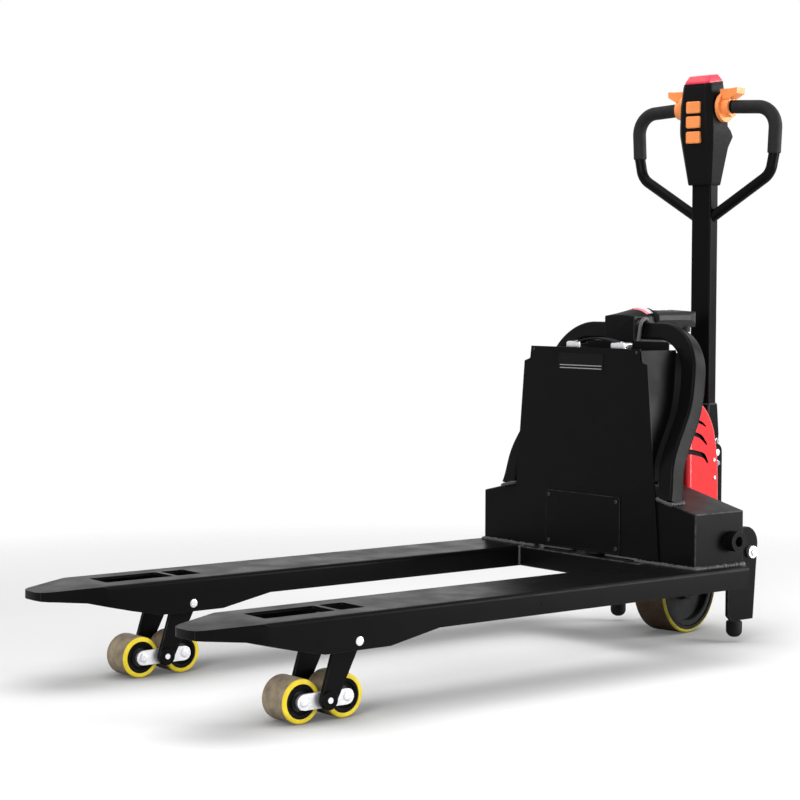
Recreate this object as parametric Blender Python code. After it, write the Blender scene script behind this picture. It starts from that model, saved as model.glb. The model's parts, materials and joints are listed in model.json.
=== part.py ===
"""Electric pallet truck standing with its forks raised, in metres with Z up.

Pieces are drawn in truck coordinates: X = 0 at the inner corner of the forks and +X towards the tiller,
Y = 0 on the centre plane, Z = 0 on the floor. The steered pieces are drawn about the steering axis, with
X pointing from that axis to the tiller. One empty per joint carries the pieces that move with it.
"""

import math

import bmesh
import bpy
from mathutils import Vector

GAP = 0.0003  # free space left between neighbouring pieces
ROUND_STEPS = 20
WHEEL_STEPS = 24
DRIVE_STEPS = 36
PIN_STEPS = 12
WELD_DISTANCE = 0.000005  # points nearer than this after a cut are one point

# Forks and the frame they are welded to
OVERALL_WIDTH = 0.685
FORK_WIDTH = 0.160
FORK_TOP = 0.189
HEEL_STEP = 0.0004  # the heels lie this much below the fork tops, so that a load rests on the tops alone
RAIL_DEPTH = 0.043
SHEET = 0.005
FORK_EDGE_RADIUS = 0.008
HEEL_X = 0.1475
RAMP_TOP_X = -0.65
BELLY_REAR_X = -0.76
BELLY_FRONT_X = -0.90
BELLY_BOTTOM = 0.125
NOSE_UNDERSIDE = ((-0.964, 0.1385), (-1.048, 0.1586), (-1.100, 0.1648))
TAPER_X = -1.01
TIP_X = -1.131
TIP_TOP = 0.181
TIP_BOTTOM = 0.170
TIP_PLAN = ((-1.114, 0.040), (-1.126, 0.030), (-1.131, 0.017))
POCKET_END_X = -1.045
POCKET_END_HALF = 0.0635
LONG_SLOT_X = (-0.990, -0.843)
SHORT_SLOT_X = (-0.833, -0.780)
TOP_SLOT_HALF = 0.034
CRANK_SLOT_X = 0.093
CRANK_SLOT_HALF = 0.0078

# Load arms, bogies and load wheels, in the plane of one fork
ARM_PIN_X = -0.827
ARM_PIN_Z = 0.1405
ARM_PIN_RADIUS = 0.008
BOGIE_X = -0.8687
BOGIE_Z = 0.039
ARM_PLATE_Y = (0.042, 0.050)
ARM_TOP_RADIUS = 0.026
ARM_FOOT_RADIUS = 0.0165
ARM_HUB_RADIUS = 0.0145
ARM_HUB_HALF = 0.051
ARM_LUG_LENGTH = 0.0311
ARM_LUG_ANGLE = math.radians(-34.75)
ARM_LUG_RADIUS = 0.0085
ARM_LUG_HALF = 0.006
LINK_PIN_RADIUS = 0.0036
LINK_PIN_END = 0.0185
BOGIE_PIN_RADIUS = 0.0055
BOGIE_PIN_HALF = 0.0545
BOGIE_PLATE_Y = (0.0345, 0.0405)
BOGIE_PLATE_RADIUS = 0.014
LOAD_WHEEL_PITCH = 0.0914
LOAD_WHEEL_RADIUS = 0.039
LOAD_WHEEL_HALF = 0.0322
LOAD_HUB_RADIUS = 0.030
LOAD_HUB_HALF = 0.0312
LOAD_HUB_RECESS = 0.004
LOAD_AXLE_RADIUS = 0.006
LOAD_AXLE_HALF = 0.0415

# Torsion shaft with its cranks, push rods and lift cylinder
SHAFT_X = 0.12
SHAFT_Z = 0.24
SHAFT_RADIUS = 0.016
SHAFT_END_RADIUS = 0.0205
SHAFT_END_Y = 0.340
SHAFT_SOCKET_RADIUS = 0.0115
SHAFT_SOCKET_DEPTH = 0.012
SHAFT_SWING = math.radians(13.9)
CRANK_LENGTH = 0.0741
CRANK_HALF = 0.005
CRANK_ROOT_RADIUS = 0.022
CRANK_TIP_RADIUS = 0.0092
LEVER_LENGTH = 0.2185
LEVER_Y = (0.155, 0.165)
LEVER_ROOT_RADIUS = 0.026
LEVER_TIP_RADIUS = 0.018
LEVER_SLOT_LENGTH = 0.0068
LEVER_SLOT_CLEARANCE = 0.001
LIFT_CRANK_LENGTH = 0.060
LIFT_CRANK_HALF = 0.008
LIFT_CRANK_TIP = 0.010
ROD_BAR_Z = (0.1605, 0.1735)
ROD_BAR_Y = (0.0075, 0.0155)
ROD_EYE_RADIUS = 0.012
ROD_EYE_EXTRA = 0.0005
ROD_SLOT_HALF = 0.0043
ROD_FRONT_EYE_Z = 0.1688
ROD_FRONT_PLAY = 0.0028
ROD_REAR_EYE_Z = 0.167
ROD_REAR_PLAY = 0.0012
CYLINDER_X = 0.061
CYLINDER_RADIUS = 0.020
CYLINDER_Z = (0.1465, 0.212)
CYLINDER_FLANGE_RADIUS = 0.030
CYLINDER_FLANGE_TOP = 0.196
CYLINDER_FLOOR = 0.008
LIFT_ROD_RADIUS = 0.012
LIFT_ROD_BOTTOM = 0.185
LIFT_ROD_SHOULDER = 0.236
LIFT_ROD_TIP_RADIUS = 0.004
LIFT_ROD_PLAY = 0.0035
PUMP_X = (0.030, 0.095)
PUMP_SET_IN = 0.0425
PUMP_CLEARANCE = 0.025  # to the flange of the lift cylinder
PUMP_TOP = 0.235
PUMP_MOTOR_RADIUS = 0.030
PUMP_MOTOR_TOP = 0.318
CONTROLLER_X = (0.030, 0.095)
CONTROLLER_SET_IN = 0.0425
CONTROLLER_CLEARANCE = 0.020  # to the flange of the lift cylinder
CONTROLLER_TOP = 0.285
CONTROLLER_FIN_TOP = 0.300
CONTROLLER_FINS = 7
CONTROLLER_FIN_HALF = 0.002

# Housing between the forks and the tiller
BOX_X = (0.0172, 0.1553)
BOX_OUTER_Y = 0.318
BOX_INNER_Y = 0.156
BOX_WALL_TOP = 0.2987
DECK_TOP = 0.336
PANEL_X = (0.0135, 0.0165)
PANEL_BOTTOM = 0.196
PANEL_BOTTOM_HALF = 0.221
PANEL_SHOULDER = 0.588
PANEL_SHOULDER_HALF = 0.185
PANEL_TOP = 0.620
PANEL_TOP_HALF = 0.164
PANEL_OPENING = (0.104, 0.207, 0.308)
GUSSET_FOOT = 0.350
GUSSET_BEND = 0.560  # below this height the gusset runs on beside the hoop
GUSSET_TOP = 0.617
GUSSET_OVERLAP = 0.010
GUSSET_THICKNESS = 0.003
GUSSET_SET_IN = 0.0015
COVER_HALF = 0.1115
COVER_Z = (0.199, 0.316)
COVER_THICKNESS = 0.002
COVER_CORNER = 0.006
HOOP_FOOT = (0.029, 0.236, 0.318)
HOOP_CORNER = (0.150, 0.190, 0.649)
HOOP_CORNER_RADIUS = 0.100
HOOP_SIZE = 0.038
HOOP_EDGE_RADIUS = 0.006
HOOP_RUN_DOWN = 0.040
HOOP_SWAY = ((0.0, 0.0), (0.20, -0.009), (0.57, 0.0145), (1.0, 0.0))  # share of the leg's height, X
HOOP_LEG_STEPS = 14
BATTERY_BOX_HALF = 0.150
BATTERY_BOX_REAR = 0.0965
BATTERY_BOX_TOP = 0.596
BATTERY_WALL = 0.0025
BATTERY_CLEARANCE = 0.0008
BATTERY_TOP = 0.600
STRAP_HALF = 0.067
STRAP_X = (0.046, 0.068)
STRAP_THICKNESS = 0.004
STRAP_CLIP_HALF = 0.0215
STRAP_CLIP_HEIGHT = 0.031
STRAP_RISE = 0.038

# Console on the hoop
CONSOLE_X = (0.114, 0.178)
CONSOLE_HALF = 0.0445
CONSOLE_BOTTOM = 0.632
CONSOLE_WALL = 0.051
CONSOLE_CROWN_RISE = 0.0205
CONSOLE_CORNER = 0.0045
VISOR_HALF = 0.055
VISOR_END_X = 0.315
VISOR_NOSE_RADIUS = 0.045
VISOR_BELLY_X = 0.265
VISOR_KEEL_HALF = 0.030
VISOR_RISE = 0.0175
VISOR_RIM_DROP = 0.0275
VISOR_BELLY_DROP = 0.0475
VISOR_FRONT_DROP = (0.0345, 0.002)
VISOR_END_DROP = (0.041, 0.0115)
KEY_X = 0.285
KEY_Y = -0.030
KEY_NECK_RADIUS = 0.009
KEY_NECK_LENGTH = 0.0125
KEY_SHANK_RADIUS = 0.0035
KEY_BOW = (0.010, 0.0025)
KEY_BOW_DROP = (0.016, 0.003)
CABLE_RADIUS = 0.004
CABLE_ROUTE = (
    (0.1480, -0.0448, 0.6770),
    (0.1480, -0.0500, 0.6770),
    (0.1380, -0.0535, 0.6795),
    (0.1275, -0.0550, 0.6750),
    (0.1215, -0.0560, 0.6640),
    (0.1180, -0.0570, 0.6480),
    (0.1140, -0.0575, 0.6300),
    (0.1060, -0.0580, 0.6045),
)

# Carriage that holds the steered drive unit
CHEEK_Y = (0.170, 0.178)
CHEEK_X = (0.265, 0.343)
CHEEK_BOTTOM = 0.044
CHEEK_CORNER = 0.012
CHEEK_TOP_X = 0.318
CHEEK_TOP_Z = 0.205
CHEEK_TOP_RADIUS = 0.037
BRIDGE_X = (0.236, 0.346)
BRIDGE_END_X = 0.312
BRIDGE_TAPER_Y = 0.100
BRIDGE_Z = (0.236, 0.248)
PIVOT_BOLT_X = 0.332
PIVOT_BOLT_Z = 0.1875
PIVOT_BOLT_RADIUS = 0.009
PIVOT_BOLT_HEAD = 0.0135
PIVOT_BOLT_Y = (0.152, 0.187)
FOOT_X = 0.289
FOOT_RADIUS = 0.017
FOOT_BOTTOM = 0.010
BEARING_RADIUS = 0.052
BEARING_TOP = 0.2565

# Steered drive unit, about the steering axis
STEER_X = 0.29
STEER_REST = math.radians(9.0)
DRIVE_RADIUS = 0.100
DRIVE_HALF = 0.040
DRIVE_HUB_RADIUS = 0.086
DRIVE_HUB_HALF = 0.038
DRIVE_HUB_RECESS = 0.018
DRIVE_HUB_RIM = 0.074
DRIVE_BOSS_RADIUS = 0.028
DRIVE_AXLE_RADIUS = 0.011
DRIVE_AXLE_HALF = 0.064
YOKE_Y = (0.046, 0.056)
YOKE_HALF = 0.040
YOKE_FOOT_HALF = 0.019
YOKE_FOOT_Z = 0.083
YOKE_WAIST_Z = 0.180
YOKE_PLATE_Z = (0.203, 0.2125)
KINGPIN_RADIUS = 0.030
KINGPIN_CLEARANCE = 0.0012
TURNTABLE_Z = (0.2570, 0.2690)
TURNTABLE_X = (-0.078, 0.128)
TURNTABLE_HALF = 0.058
TURNTABLE_CORNER = 0.030
MOTOR_X = -0.030
MOTOR_RADIUS = 0.046
MOTOR_TOP = 0.420
MOTOR_CAP_RADIUS = 0.034
MOTOR_CAP_TOP = 0.446
HOOD_HALF = 0.090
HOOD_WALL = 0.003
HOOD_EDGE = 0.014
HOOD_OUTLINE = (
    (-0.085, 0.2693),
    (0.036, 0.2693),
    (0.036, 0.300),
    (0.033, 0.374),
    (0.023, 0.424),
    (0.013, 0.453),
    (-0.008, 0.482),
    (-0.030, 0.500),
    (-0.050, 0.508),
    (-0.066, 0.500),
    (-0.079, 0.477),
    (-0.085, 0.440),
)
HOOD_SLOTS = (
    ((-0.060, 0.482), (0.002, 0.448)),
    ((-0.062, 0.452), (0.008, 0.414)),
    ((-0.064, 0.420), (0.010, 0.382)),
)
HOOD_SLOT_HEIGHT = 0.009
BASE_X = (0.066, 0.1175)
BASE_Y = (0.031, 0.039)
BASE_FLOOR_TOP = 0.279
BASE_EAR_RADIUS = 0.0195
TILT_X = 0.098
TILT_Z = 0.385
TILT_PIN_RADIUS = 0.008
TILT_PIN_HALF = 0.0425

# Tiller, in its upright pose about the steering axis
ROOT_OUTLINE = (
    (0.0815, 0.4935),
    (0.0790, 0.487),
    (0.0740, 0.425),
    (0.0840, 0.365),
    (0.1180, 0.365),
    (0.1215, 0.425),
    (0.1150, 0.487),
    (0.1135, 0.4935),
)
ROOT_HALF = 0.0285
TUBE_X = 0.0975
TUBE_DEPTH = 0.030
TUBE_HALF = 0.025
TUBE_BOTTOM = 0.480
HEAD_BOTTOM = 0.968
LOOP_RADIUS = 0.010
LOOP_ROUTE = ((0.1743, 1.0270), (0.1665, 0.9880), (0.0150, 0.8957))
LOOP_BEND = 0.030
GRIP_RADIUS = 0.0145
GRIP_ROUTE = ((0.0714, 1.1350), (0.1797, 1.1290), (0.1749, 1.0303))
GRIP_BEND = 0.045
GRIP_AXIS_Z = 1.135
# Height, half width, front, rear and edge chamfer of each ring of the head
HEAD_RINGS = (
    (0.9680, 0.0295, 0.0715, 0.1175, 0.005),
    (0.9740, 0.0315, 0.0690, 0.1200, 0.008),
    (1.0500, 0.0410, 0.0560, 0.1355, 0.011),
    (1.0740, 0.0435, 0.0515, 0.1505, 0.012),
    (1.0860, 0.0440, 0.0510, 0.1425, 0.012),
    (1.0960, 0.0435, 0.0505, 0.1305, 0.012),
    (1.1400, 0.0415, 0.0505, 0.1285, 0.012),
)
HEAD_TOP = (1.1805, 0.0365, 0.0540, 0.1185, 0.010)
HEAD_TOP_SLOPE = 0.15
STUB_END = 0.0702
BUTTON_HALF = 0.0180
BUTTON_HALF_HEIGHT = 0.0128
BUTTON_HEIGHTS = (1.1344, 1.1026, 1.0698)
BUTTON_CORNER = 0.0035
BUTTON_X = (0.0468, 0.0570)
BUTTON_TRAVEL = 0.0025
BUTTON_CLEARANCE = 0.0004
BELLY_HALF = 0.0325
BELLY_X = (0.0560, 0.1190)
BELLY_TOP_HALF = 0.0260
BELLY_TOP_X = (0.0635, 0.1110)
BELLY_CAP = (0.0045, 0.0172)
BELLY_CHAMFER = 0.008
BELLY_PLUG_HALF = 0.024
BELLY_PLUG_X = (0.066, 0.108)
BELLY_PLUG_DEPTH = 0.012
BELLY_TRAVEL = 0.003
PADDLE_DISC_Y = (0.0443, 0.0535)
PADDLE_DISC_RADIUS = 0.032
PADDLE_COLLAR_END = 0.0695
PADDLE_COLLAR_RADIUS = 0.0215
PADDLE_BORE_CLEARANCE = 0.0004
PADDLE_WING_Y = 0.0895
PADDLE_WING_ROOT = (0.0165, 0.0385)
PADDLE_WING_END = (0.0275, 0.0400)
PADDLE_WING_HALF = 0.016

HEEL_TOP = FORK_TOP - HEEL_STEP
FORK_Y = (OVERALL_WIDTH - FORK_WIDTH) / 2
FORK_INNER_Y = FORK_Y - FORK_WIDTH / 2
RAIL_BOTTOM = FORK_TOP - RAIL_DEPTH
PUMP_LOW = (PUMP_X[0], CYLINDER_FLANGE_RADIUS + PUMP_CLEARANCE, HEEL_TOP + GAP)
PUMP_HIGH = (PUMP_X[1], FORK_INNER_Y - PUMP_SET_IN, PUMP_TOP)
CONTROLLER_LOW = (CONTROLLER_X[0], CONTROLLER_SET_IN - FORK_INNER_Y, HEEL_TOP + GAP)
CONTROLLER_HIGH = (CONTROLLER_X[1], -CYLINDER_FLANGE_RADIUS - CONTROLLER_CLEARANCE, CONTROLLER_TOP)
CONSOLE_SHOULDER = CONSOLE_BOTTOM + CONSOLE_WALL
CONSOLE_TOP = CONSOLE_SHOULDER + CONSOLE_CROWN_RISE
VISOR_FRONT_Z = tuple(CONSOLE_TOP - drop for drop in VISOR_FRONT_DROP)
VISOR_END_Z = tuple(CONSOLE_TOP - drop for drop in VISOR_END_DROP)
KEY_NECK_BOTTOM = VISOR_END_Z[0] - KEY_NECK_LENGTH
KEY_BOW_Z = tuple(KEY_NECK_BOTTOM - drop for drop in KEY_BOW_DROP)
VISOR_BELLY_Z = CONSOLE_TOP - VISOR_BELLY_DROP
HOOP_LEAN = (HOOP_CORNER[0] - HOOP_FOOT[0]) / (HOOP_CORNER[2] - HOOP_FOOT[2])
HOOP_ALONG = Vector((HOOP_LEAN, 0.0, 1.0)).normalized()
HOOP_NORMAL = Vector((1.0, 0.0, -HOOP_LEAN)).normalized()
BOX_SLOPE = (DECK_TOP - BOX_WALL_TOP) / (BOX_OUTER_Y - BOX_INNER_Y)
CRANK_PIN = (
    SHAFT_X - CRANK_LENGTH * math.sin(SHAFT_SWING),
    SHAFT_Z - CRANK_LENGTH * math.cos(SHAFT_SWING),
)
LEVER_END = (
    SHAFT_X + LEVER_LENGTH * math.cos(SHAFT_SWING),
    SHAFT_Z - LEVER_LENGTH * math.sin(SHAFT_SWING),
)
LEVER_SLOT_START = (
    SHAFT_X + (LEVER_LENGTH - LEVER_SLOT_LENGTH) * math.cos(SHAFT_SWING),
    SHAFT_Z - (LEVER_LENGTH - LEVER_SLOT_LENGTH) * math.sin(SHAFT_SWING),
)
LIFT_CRANK_END = (
    SHAFT_X - LIFT_CRANK_LENGTH * math.cos(SHAFT_SWING),
    SHAFT_Z + LIFT_CRANK_LENGTH * math.sin(SHAFT_SWING),
)
LUG_PIN = (
    ARM_PIN_X + ARM_LUG_LENGTH * math.sin(ARM_LUG_ANGLE),
    ARM_PIN_Z + ARM_LUG_LENGTH * math.cos(ARM_LUG_ANGLE),
)

SIDES = {"left": -1, "right": 1}

# Finish: colour as red, green, blue from 0 to 1, then roughness and metallic
FINISHES = {
    "black_paint": ((0.010, 0.010, 0.011), 0.38, 0.0),
    "black_plastic": ((0.016, 0.016, 0.017), 0.50, 0.0),
    "black_rubber": ((0.012, 0.012, 0.012), 0.75, 0.0),
    "dark_steel": ((0.060, 0.060, 0.062), 0.45, 0.8),
    "zinc_steel": ((0.720, 0.720, 0.730), 0.32, 0.9),
    "bright_steel": ((0.520, 0.520, 0.530), 0.25, 1.0),
    "load_tread": ((0.330, 0.250, 0.130), 0.55, 0.0),
    "drive_tread": ((0.065, 0.040, 0.018), 0.55, 0.0),
    "red_plastic": ((0.780, 0.020, 0.025), 0.32, 0.0),
    "orange_plastic": ((0.950, 0.270, 0.055), 0.42, 0.0),
    "battery_case": ((0.020, 0.020, 0.022), 0.60, 0.0),
    "cast_aluminium": ((0.420, 0.420, 0.430), 0.50, 0.9),
}

PLANES = {
    "X": lambda u, v, along: (along, u, v),
    "Y": lambda u, v, along: (u, along, v),
    "Z": lambda u, v, along: (u, v, along),
}

materials = {}
origins = {}


def make_materials():
    """One Principled material per finish."""
    for name, (colour, roughness, metallic) in FINISHES.items():
        material = bpy.data.materials.new(name)
        material.use_nodes = True
        shader = material.node_tree.nodes["Principled BSDF"]
        shader.inputs["Base Color"].default_value = (*colour, 1.0)
        shader.inputs["Roughness"].default_value = roughness
        shader.inputs["Metallic"].default_value = metallic
        materials[name] = material


def joint(name, parent, at, turn=None):
    """Empty on a joint axis. A turned one starts new drawing coordinates at its own place."""
    empty = bpy.data.objects.new(name, None)
    bpy.context.scene.collection.objects.link(empty)
    empty.parent = parent
    empty.location = Vector(at) - origins.get(parent.name if parent else "", Vector())
    empty.rotation_euler.z = turn or 0.0
    origins[name] = Vector() if turn is not None else Vector(at)
    return empty


def piece(name, shape, finish, parent):
    """Names a shape, gives it its finish and hangs it on its empty where it was drawn."""
    shape.name = name
    shape.data.name = name
    shape.data.materials.clear()
    shape.data.materials.append(materials[finish])
    shape.parent = parent
    shape.location = -origins[parent.name]
    if shape.type == "MESH":
        shape.data.shade_smooth()
        shape.data.set_sharp_from_angle(angle=math.radians(35))
    return shape


def solid(bm):
    """Object from a closed bmesh, with its faces turned outwards."""
    bmesh.ops.recalc_face_normals(bm, faces=bm.faces)
    mesh = bpy.data.meshes.new("shape")
    bm.to_mesh(mesh)
    bm.free()
    shape = bpy.data.objects.new("shape", mesh)
    bpy.context.scene.collection.objects.link(shape)
    return shape


def skin(rings):
    """Closed solid through rings of points, flat at both ends."""
    bm = bmesh.new()
    loops = [[bm.verts.new(point) for point in ring] for ring in rings]
    bm.faces.new(loops[0])
    bm.faces.new(loops[-1])
    count = len(loops[0])
    for low, high in zip(loops, loops[1:]):
        for i in range(count):
            j = (i + 1) % count
            bm.faces.new((low[i], low[j], high[j], high[i]))
    return solid(bm)


def prism(outline, axis, low, high):
    """Outline carried along an axis. X takes (y, z) points, Y takes (x, z), Z takes (x, y)."""
    place = PLANES[axis]
    return skin([[place(u, v, along) for u, v in outline] for along in (low, high)])


def block(low, high):
    """Box between two corners."""
    outline = ((low[0], low[1]), (high[0], low[1]), (high[0], high[1]), (low[0], high[1]))
    return prism(outline, "Z", low[2], high[2])


def arc(centre, radius, start, end, steps):
    """Points on an arc, with the angles in degrees."""
    points = []
    for i in range(steps + 1):
        angle = math.radians(start + (end - start) * i / steps)
        points.append((centre[0] + radius * math.cos(angle), centre[1] + radius * math.sin(angle)))
    return points


def rounded(low, high, radius, steps=3):
    """Rectangle outline with rounded corners."""
    points = []
    corners = (
        (high[0] - radius, high[1] - radius),
        (low[0] + radius, high[1] - radius),
        (low[0] + radius, low[1] + radius),
        (high[0] - radius, low[1] + radius),
    )
    for i, corner in enumerate(corners):
        points += arc(corner, radius, 90 * i, 90 * i + 90, steps)
    return points


def strap(first, first_radius, second, second_radius, steps=14):
    """Outline of a plate wrapped round two circles."""
    reach = math.hypot(second[0] - first[0], second[1] - first[1])
    heading = math.degrees(math.atan2(second[1] - first[1], second[0] - first[0]))
    spread = math.degrees(math.acos((first_radius - second_radius) / reach))
    half = steps // 2
    points = arc(first, first_radius, heading + spread, heading + 360 - spread, half)
    points += arc(second, second_radius, heading - spread, heading + spread, half)
    return points


def stadium(centre, half_height, radius, steps=6):
    """Outline of an upright slot: a circle stretched upwards and downwards."""
    top = arc((centre[0], centre[1] + half_height), radius, 0, 180, steps)
    return top + arc((centre[0], centre[1] - half_height), radius, 180, 360, steps)


def turned(profile, axis, centre, steps=ROUND_STEPS):
    """Profile of (radius, along) points turned about an axis; one that starts off the axis is closed up."""
    bm = bmesh.new()
    place = PLANES[axis]
    rings = []
    for radius, along in profile:
        ring = []
        for i in range(steps if radius > 0 else 1):
            angle = 2 * math.pi * i / steps
            offset = place(radius * math.cos(angle), radius * math.sin(angle), along)
            ring.append(bm.verts.new(Vector(centre) + Vector(offset)))
        rings.append(ring)
    pairs = list(zip(rings, rings[1:]))
    if profile[0][0] > 0:
        pairs.append((rings[-1], rings[0]))
    for low, high in pairs:
        for i in range(steps):
            j = (i + 1) % steps
            corners = (low[i % len(low)], low[j % len(low)], high[j % len(high)], high[i % len(high)])
            bm.faces.new(list(dict.fromkeys(corners)))
    return solid(bm)


def rod(radius, axis, centre, low, high, steps=ROUND_STEPS):
    """Plain cylinder along an axis, its ends measured from the centre."""
    return turned(((0, low), (radius, low), (radius, high), (0, high)), axis, centre, steps)


def bent(route, radius, steps):
    """Route of two straight runs whose corner is rounded off."""
    first, corner, last = (Vector(point) for point in route)
    into = (first - corner).normalized()
    out = (last - corner).normalized()
    half_angle = into.angle(out) / 2
    setback = radius / math.tan(half_angle)
    centre = corner + (into + out).normalized() * (radius / math.sin(half_angle))
    start = corner + into * setback - centre
    end = corner + out * setback - centre
    points = [first]
    for i in range(steps + 1):
        points.append(centre + sweep(start, end, i / steps))
    points.append(last)
    return points


def sweep(start, end, share):
    """Vector turned part of the way between two plane vectors of one length."""
    total = math.atan2(start.cross(end), start.dot(end))
    angle = total * share
    return Vector(
        (
            start.x * math.cos(angle) - start.y * math.sin(angle),
            start.x * math.sin(angle) + start.y * math.cos(angle),
        )
    )


def swept(path, normal, section):
    """Section of (across, along normal) offsets carried along a path that lies in one plane."""
    rings = []
    last = len(path) - 1
    for i, point in enumerate(path):
        heading = (path[min(i + 1, last)] - path[max(i - 1, 0)]).normalized()
        across = heading.cross(normal)
        rings.append([point + across * u + normal * v for u, v in section])
    return skin(rings)


def boolean(target, tools, operation):
    """Result of one Boolean with each tool in turn, with the tools taken away."""
    for tool in tools:
        step = target.modifiers.new("step", "BOOLEAN")
        step.operation = operation
        step.solver = "EXACT"
        step.object = tool
    bpy.context.view_layer.update()
    graph = bpy.context.evaluated_depsgraph_get()
    result = bpy.data.meshes.new_from_object(target.evaluated_get(graph))
    target.modifiers.clear()
    target.data = result
    bm = bmesh.new()
    bm.from_mesh(result)
    bmesh.ops.remove_doubles(bm, verts=bm.verts, dist=WELD_DISTANCE)
    bmesh.ops.dissolve_degenerate(bm, edges=bm.edges, dist=WELD_DISTANCE)
    bm.to_mesh(result)
    bm.free()
    for tool in tools:
        bpy.data.objects.remove(tool)
    return target


def fused(target, *tools):
    """Target welded to the tools."""
    return boolean(target, tools, "UNION")


def carved(target, *tools):
    """Target with the tools cut out of it."""
    return boolean(target, tools, "DIFFERENCE")


def common(target, *tools):
    """What the target shares with the tools."""
    return boolean(target, tools, "INTERSECT")


def mirrored(points):
    """Outline half given as (along, half width) points, closed with its mirror image."""
    return list(points) + [(u, -v) for u, v in reversed(points)]


def shifted(outline, step):
    """Outline moved along its first axis."""
    return [(u + step, v) for u, v in outline]


def fork(side, parent):
    """Pressed fork, open below, with wheel slots near the tip and a crank slot at the heel."""
    centre = SIDES[side] * FORK_Y
    half = FORK_WIDTH / 2
    profile = [(HEEL_X, FORK_TOP), (TAPER_X, FORK_TOP), (TIP_X, TIP_TOP), (TIP_X, TIP_BOTTOM)]
    profile += list(reversed(NOSE_UNDERSIDE))
    profile += [(BELLY_FRONT_X, BELLY_BOTTOM), (BELLY_REAR_X, BELLY_BOTTOM), (RAMP_TOP_X, RAIL_BOTTOM)]
    profile += [(HEEL_X, RAIL_BOTTOM)]
    shape = prism(profile, "Y", centre - half, centre + half)
    plan = mirrored([(HEEL_X + SHEET, half), (TAPER_X, half), *TIP_PLAN])
    plan_shape = prism([(x, centre + y) for x, y in plan], "Z", 0.0, FORK_TOP + SHEET)
    edge = FORK_EDGE_RADIUS
    section = [(half, 0.0)]
    section += arc((half - edge, FORK_TOP - edge), edge, 0, 90, 4)
    section += arc((edge - half, FORK_TOP - edge), edge, 90, 180, 4)
    section += [(-half, 0.0)]
    section_shape = prism(shifted(section, centre), "X", TIP_X - SHEET, HEEL_X + SHEET)
    shape = common(shape, plan_shape, section_shape)
    inner = half - SHEET
    hollow = mirrored([(HEEL_X + SHEET, inner), (TAPER_X, inner), (POCKET_END_X, POCKET_END_HALF)])
    cutters = [prism([(x, centre + y) for x, y in hollow], "Z", -SHEET, FORK_TOP - SHEET)]
    for low, high in (LONG_SLOT_X, SHORT_SLOT_X):
        outline = rounded((low, centre - TOP_SLOT_HALF), (high, centre + TOP_SLOT_HALF), SHEET)
        cutters.append(prism(outline, "Z", FORK_TOP - 2 * SHEET, FORK_TOP + SHEET))
    crank_low = (CRANK_SLOT_X, centre - CRANK_SLOT_HALF, FORK_TOP - 2 * SHEET)
    crank_high = (HEEL_X + SHEET, centre + CRANK_SLOT_HALF, FORK_TOP + SHEET)
    cutters.append(block(crank_low, crank_high))
    heel_low = (0.0, centre - FORK_WIDTH, HEEL_TOP)
    cutters.append(block(heel_low, (HEEL_X + SHEET, centre + FORK_WIDTH, FORK_TOP + SHEET)))
    pin = (ARM_PIN_X, centre, ARM_PIN_Z)
    cutters.append(rod(ARM_PIN_RADIUS + GAP, "Y", pin, -FORK_WIDTH, FORK_WIDTH, PIN_STEPS))
    piece(f"fork_{side}", carved(shape, *cutters), "black_paint", parent)
    pin_shape = rod(ARM_PIN_RADIUS, "Y", pin, -half, half, PIN_STEPS)
    piece(f"arm_pin_{side}", pin_shape, "zinc_steel", parent)


def cross_member(parent):
    """Channel welded between the fork heels, with the hole for the lift cylinder."""
    end = FORK_INNER_Y - GAP
    shape = block((0.0, -end, RAIL_BOTTOM), (HEEL_X, end, HEEL_TOP))
    hollow = block((SHEET, -2 * end, 0.0), (HEEL_X - SHEET, 2 * end, HEEL_TOP - SHEET))
    hole = rod(CYLINDER_RADIUS + GAP, "Z", (CYLINDER_X, 0, FORK_TOP), -RAIL_DEPTH, RAIL_DEPTH)
    piece("cross_member", carved(shape, hollow, hole), "black_paint", parent)


def side_box(side, parent):
    """Folded box over one fork heel, open below, behind and towards the middle."""
    sign = SIDES[side]
    bottom = HEEL_TOP + GAP
    outline = [(BOX_INNER_Y, bottom), (BOX_OUTER_Y, bottom)]
    outline += [(BOX_OUTER_Y, BOX_WALL_TOP), (BOX_INNER_Y, DECK_TOP)]
    shape = prism([(sign * y, z) for y, z in outline], "X", *BOX_X)
    inner_y = BOX_INNER_Y - SHEET
    wall_y = BOX_OUTER_Y - SHEET
    wall_z = BOX_WALL_TOP + SHEET * BOX_SLOPE - SHEET
    inner_z = wall_z + (wall_y - inner_y) * BOX_SLOPE
    hollow = [(inner_y, 0.0), (wall_y, 0.0), (wall_y, wall_z), (inner_y, inner_z)]
    hollow_shape = prism([(sign * y, z) for y, z in hollow], "X", BOX_X[0] + SHEET, BOX_X[1] + SHEET)
    shaft = (SHAFT_X, sign * BOX_OUTER_Y, SHAFT_Z)
    hole = rod(SHAFT_RADIUS + GAP, "Y", shaft, -2 * SHEET, 2 * SHEET)
    piece(f"side_box_{side}", carved(shape, hollow_shape, hole), "black_paint", parent)


def panel_half(height):
    """Half width of the front panel at a height on its long edges."""
    share = (height - PANEL_BOTTOM) / (PANEL_SHOULDER - PANEL_BOTTOM)
    return PANEL_BOTTOM_HALF + (PANEL_SHOULDER_HALF - PANEL_BOTTOM_HALF) * share


def leg_sway(height):
    """How far a leg of the hoop sways back from its straight line at a height."""
    share = (height - HOOP_FOOT[2]) / (HOOP_CORNER[2] - HOOP_FOOT[2])
    for (low, first), (high, second) in zip(HOOP_SWAY, HOOP_SWAY[1:]):
        if low <= share < high:
            part = (share - low) / (high - low)
            return first + (second - first) * part * part * (3 - 2 * part)
    return 0.0


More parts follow.
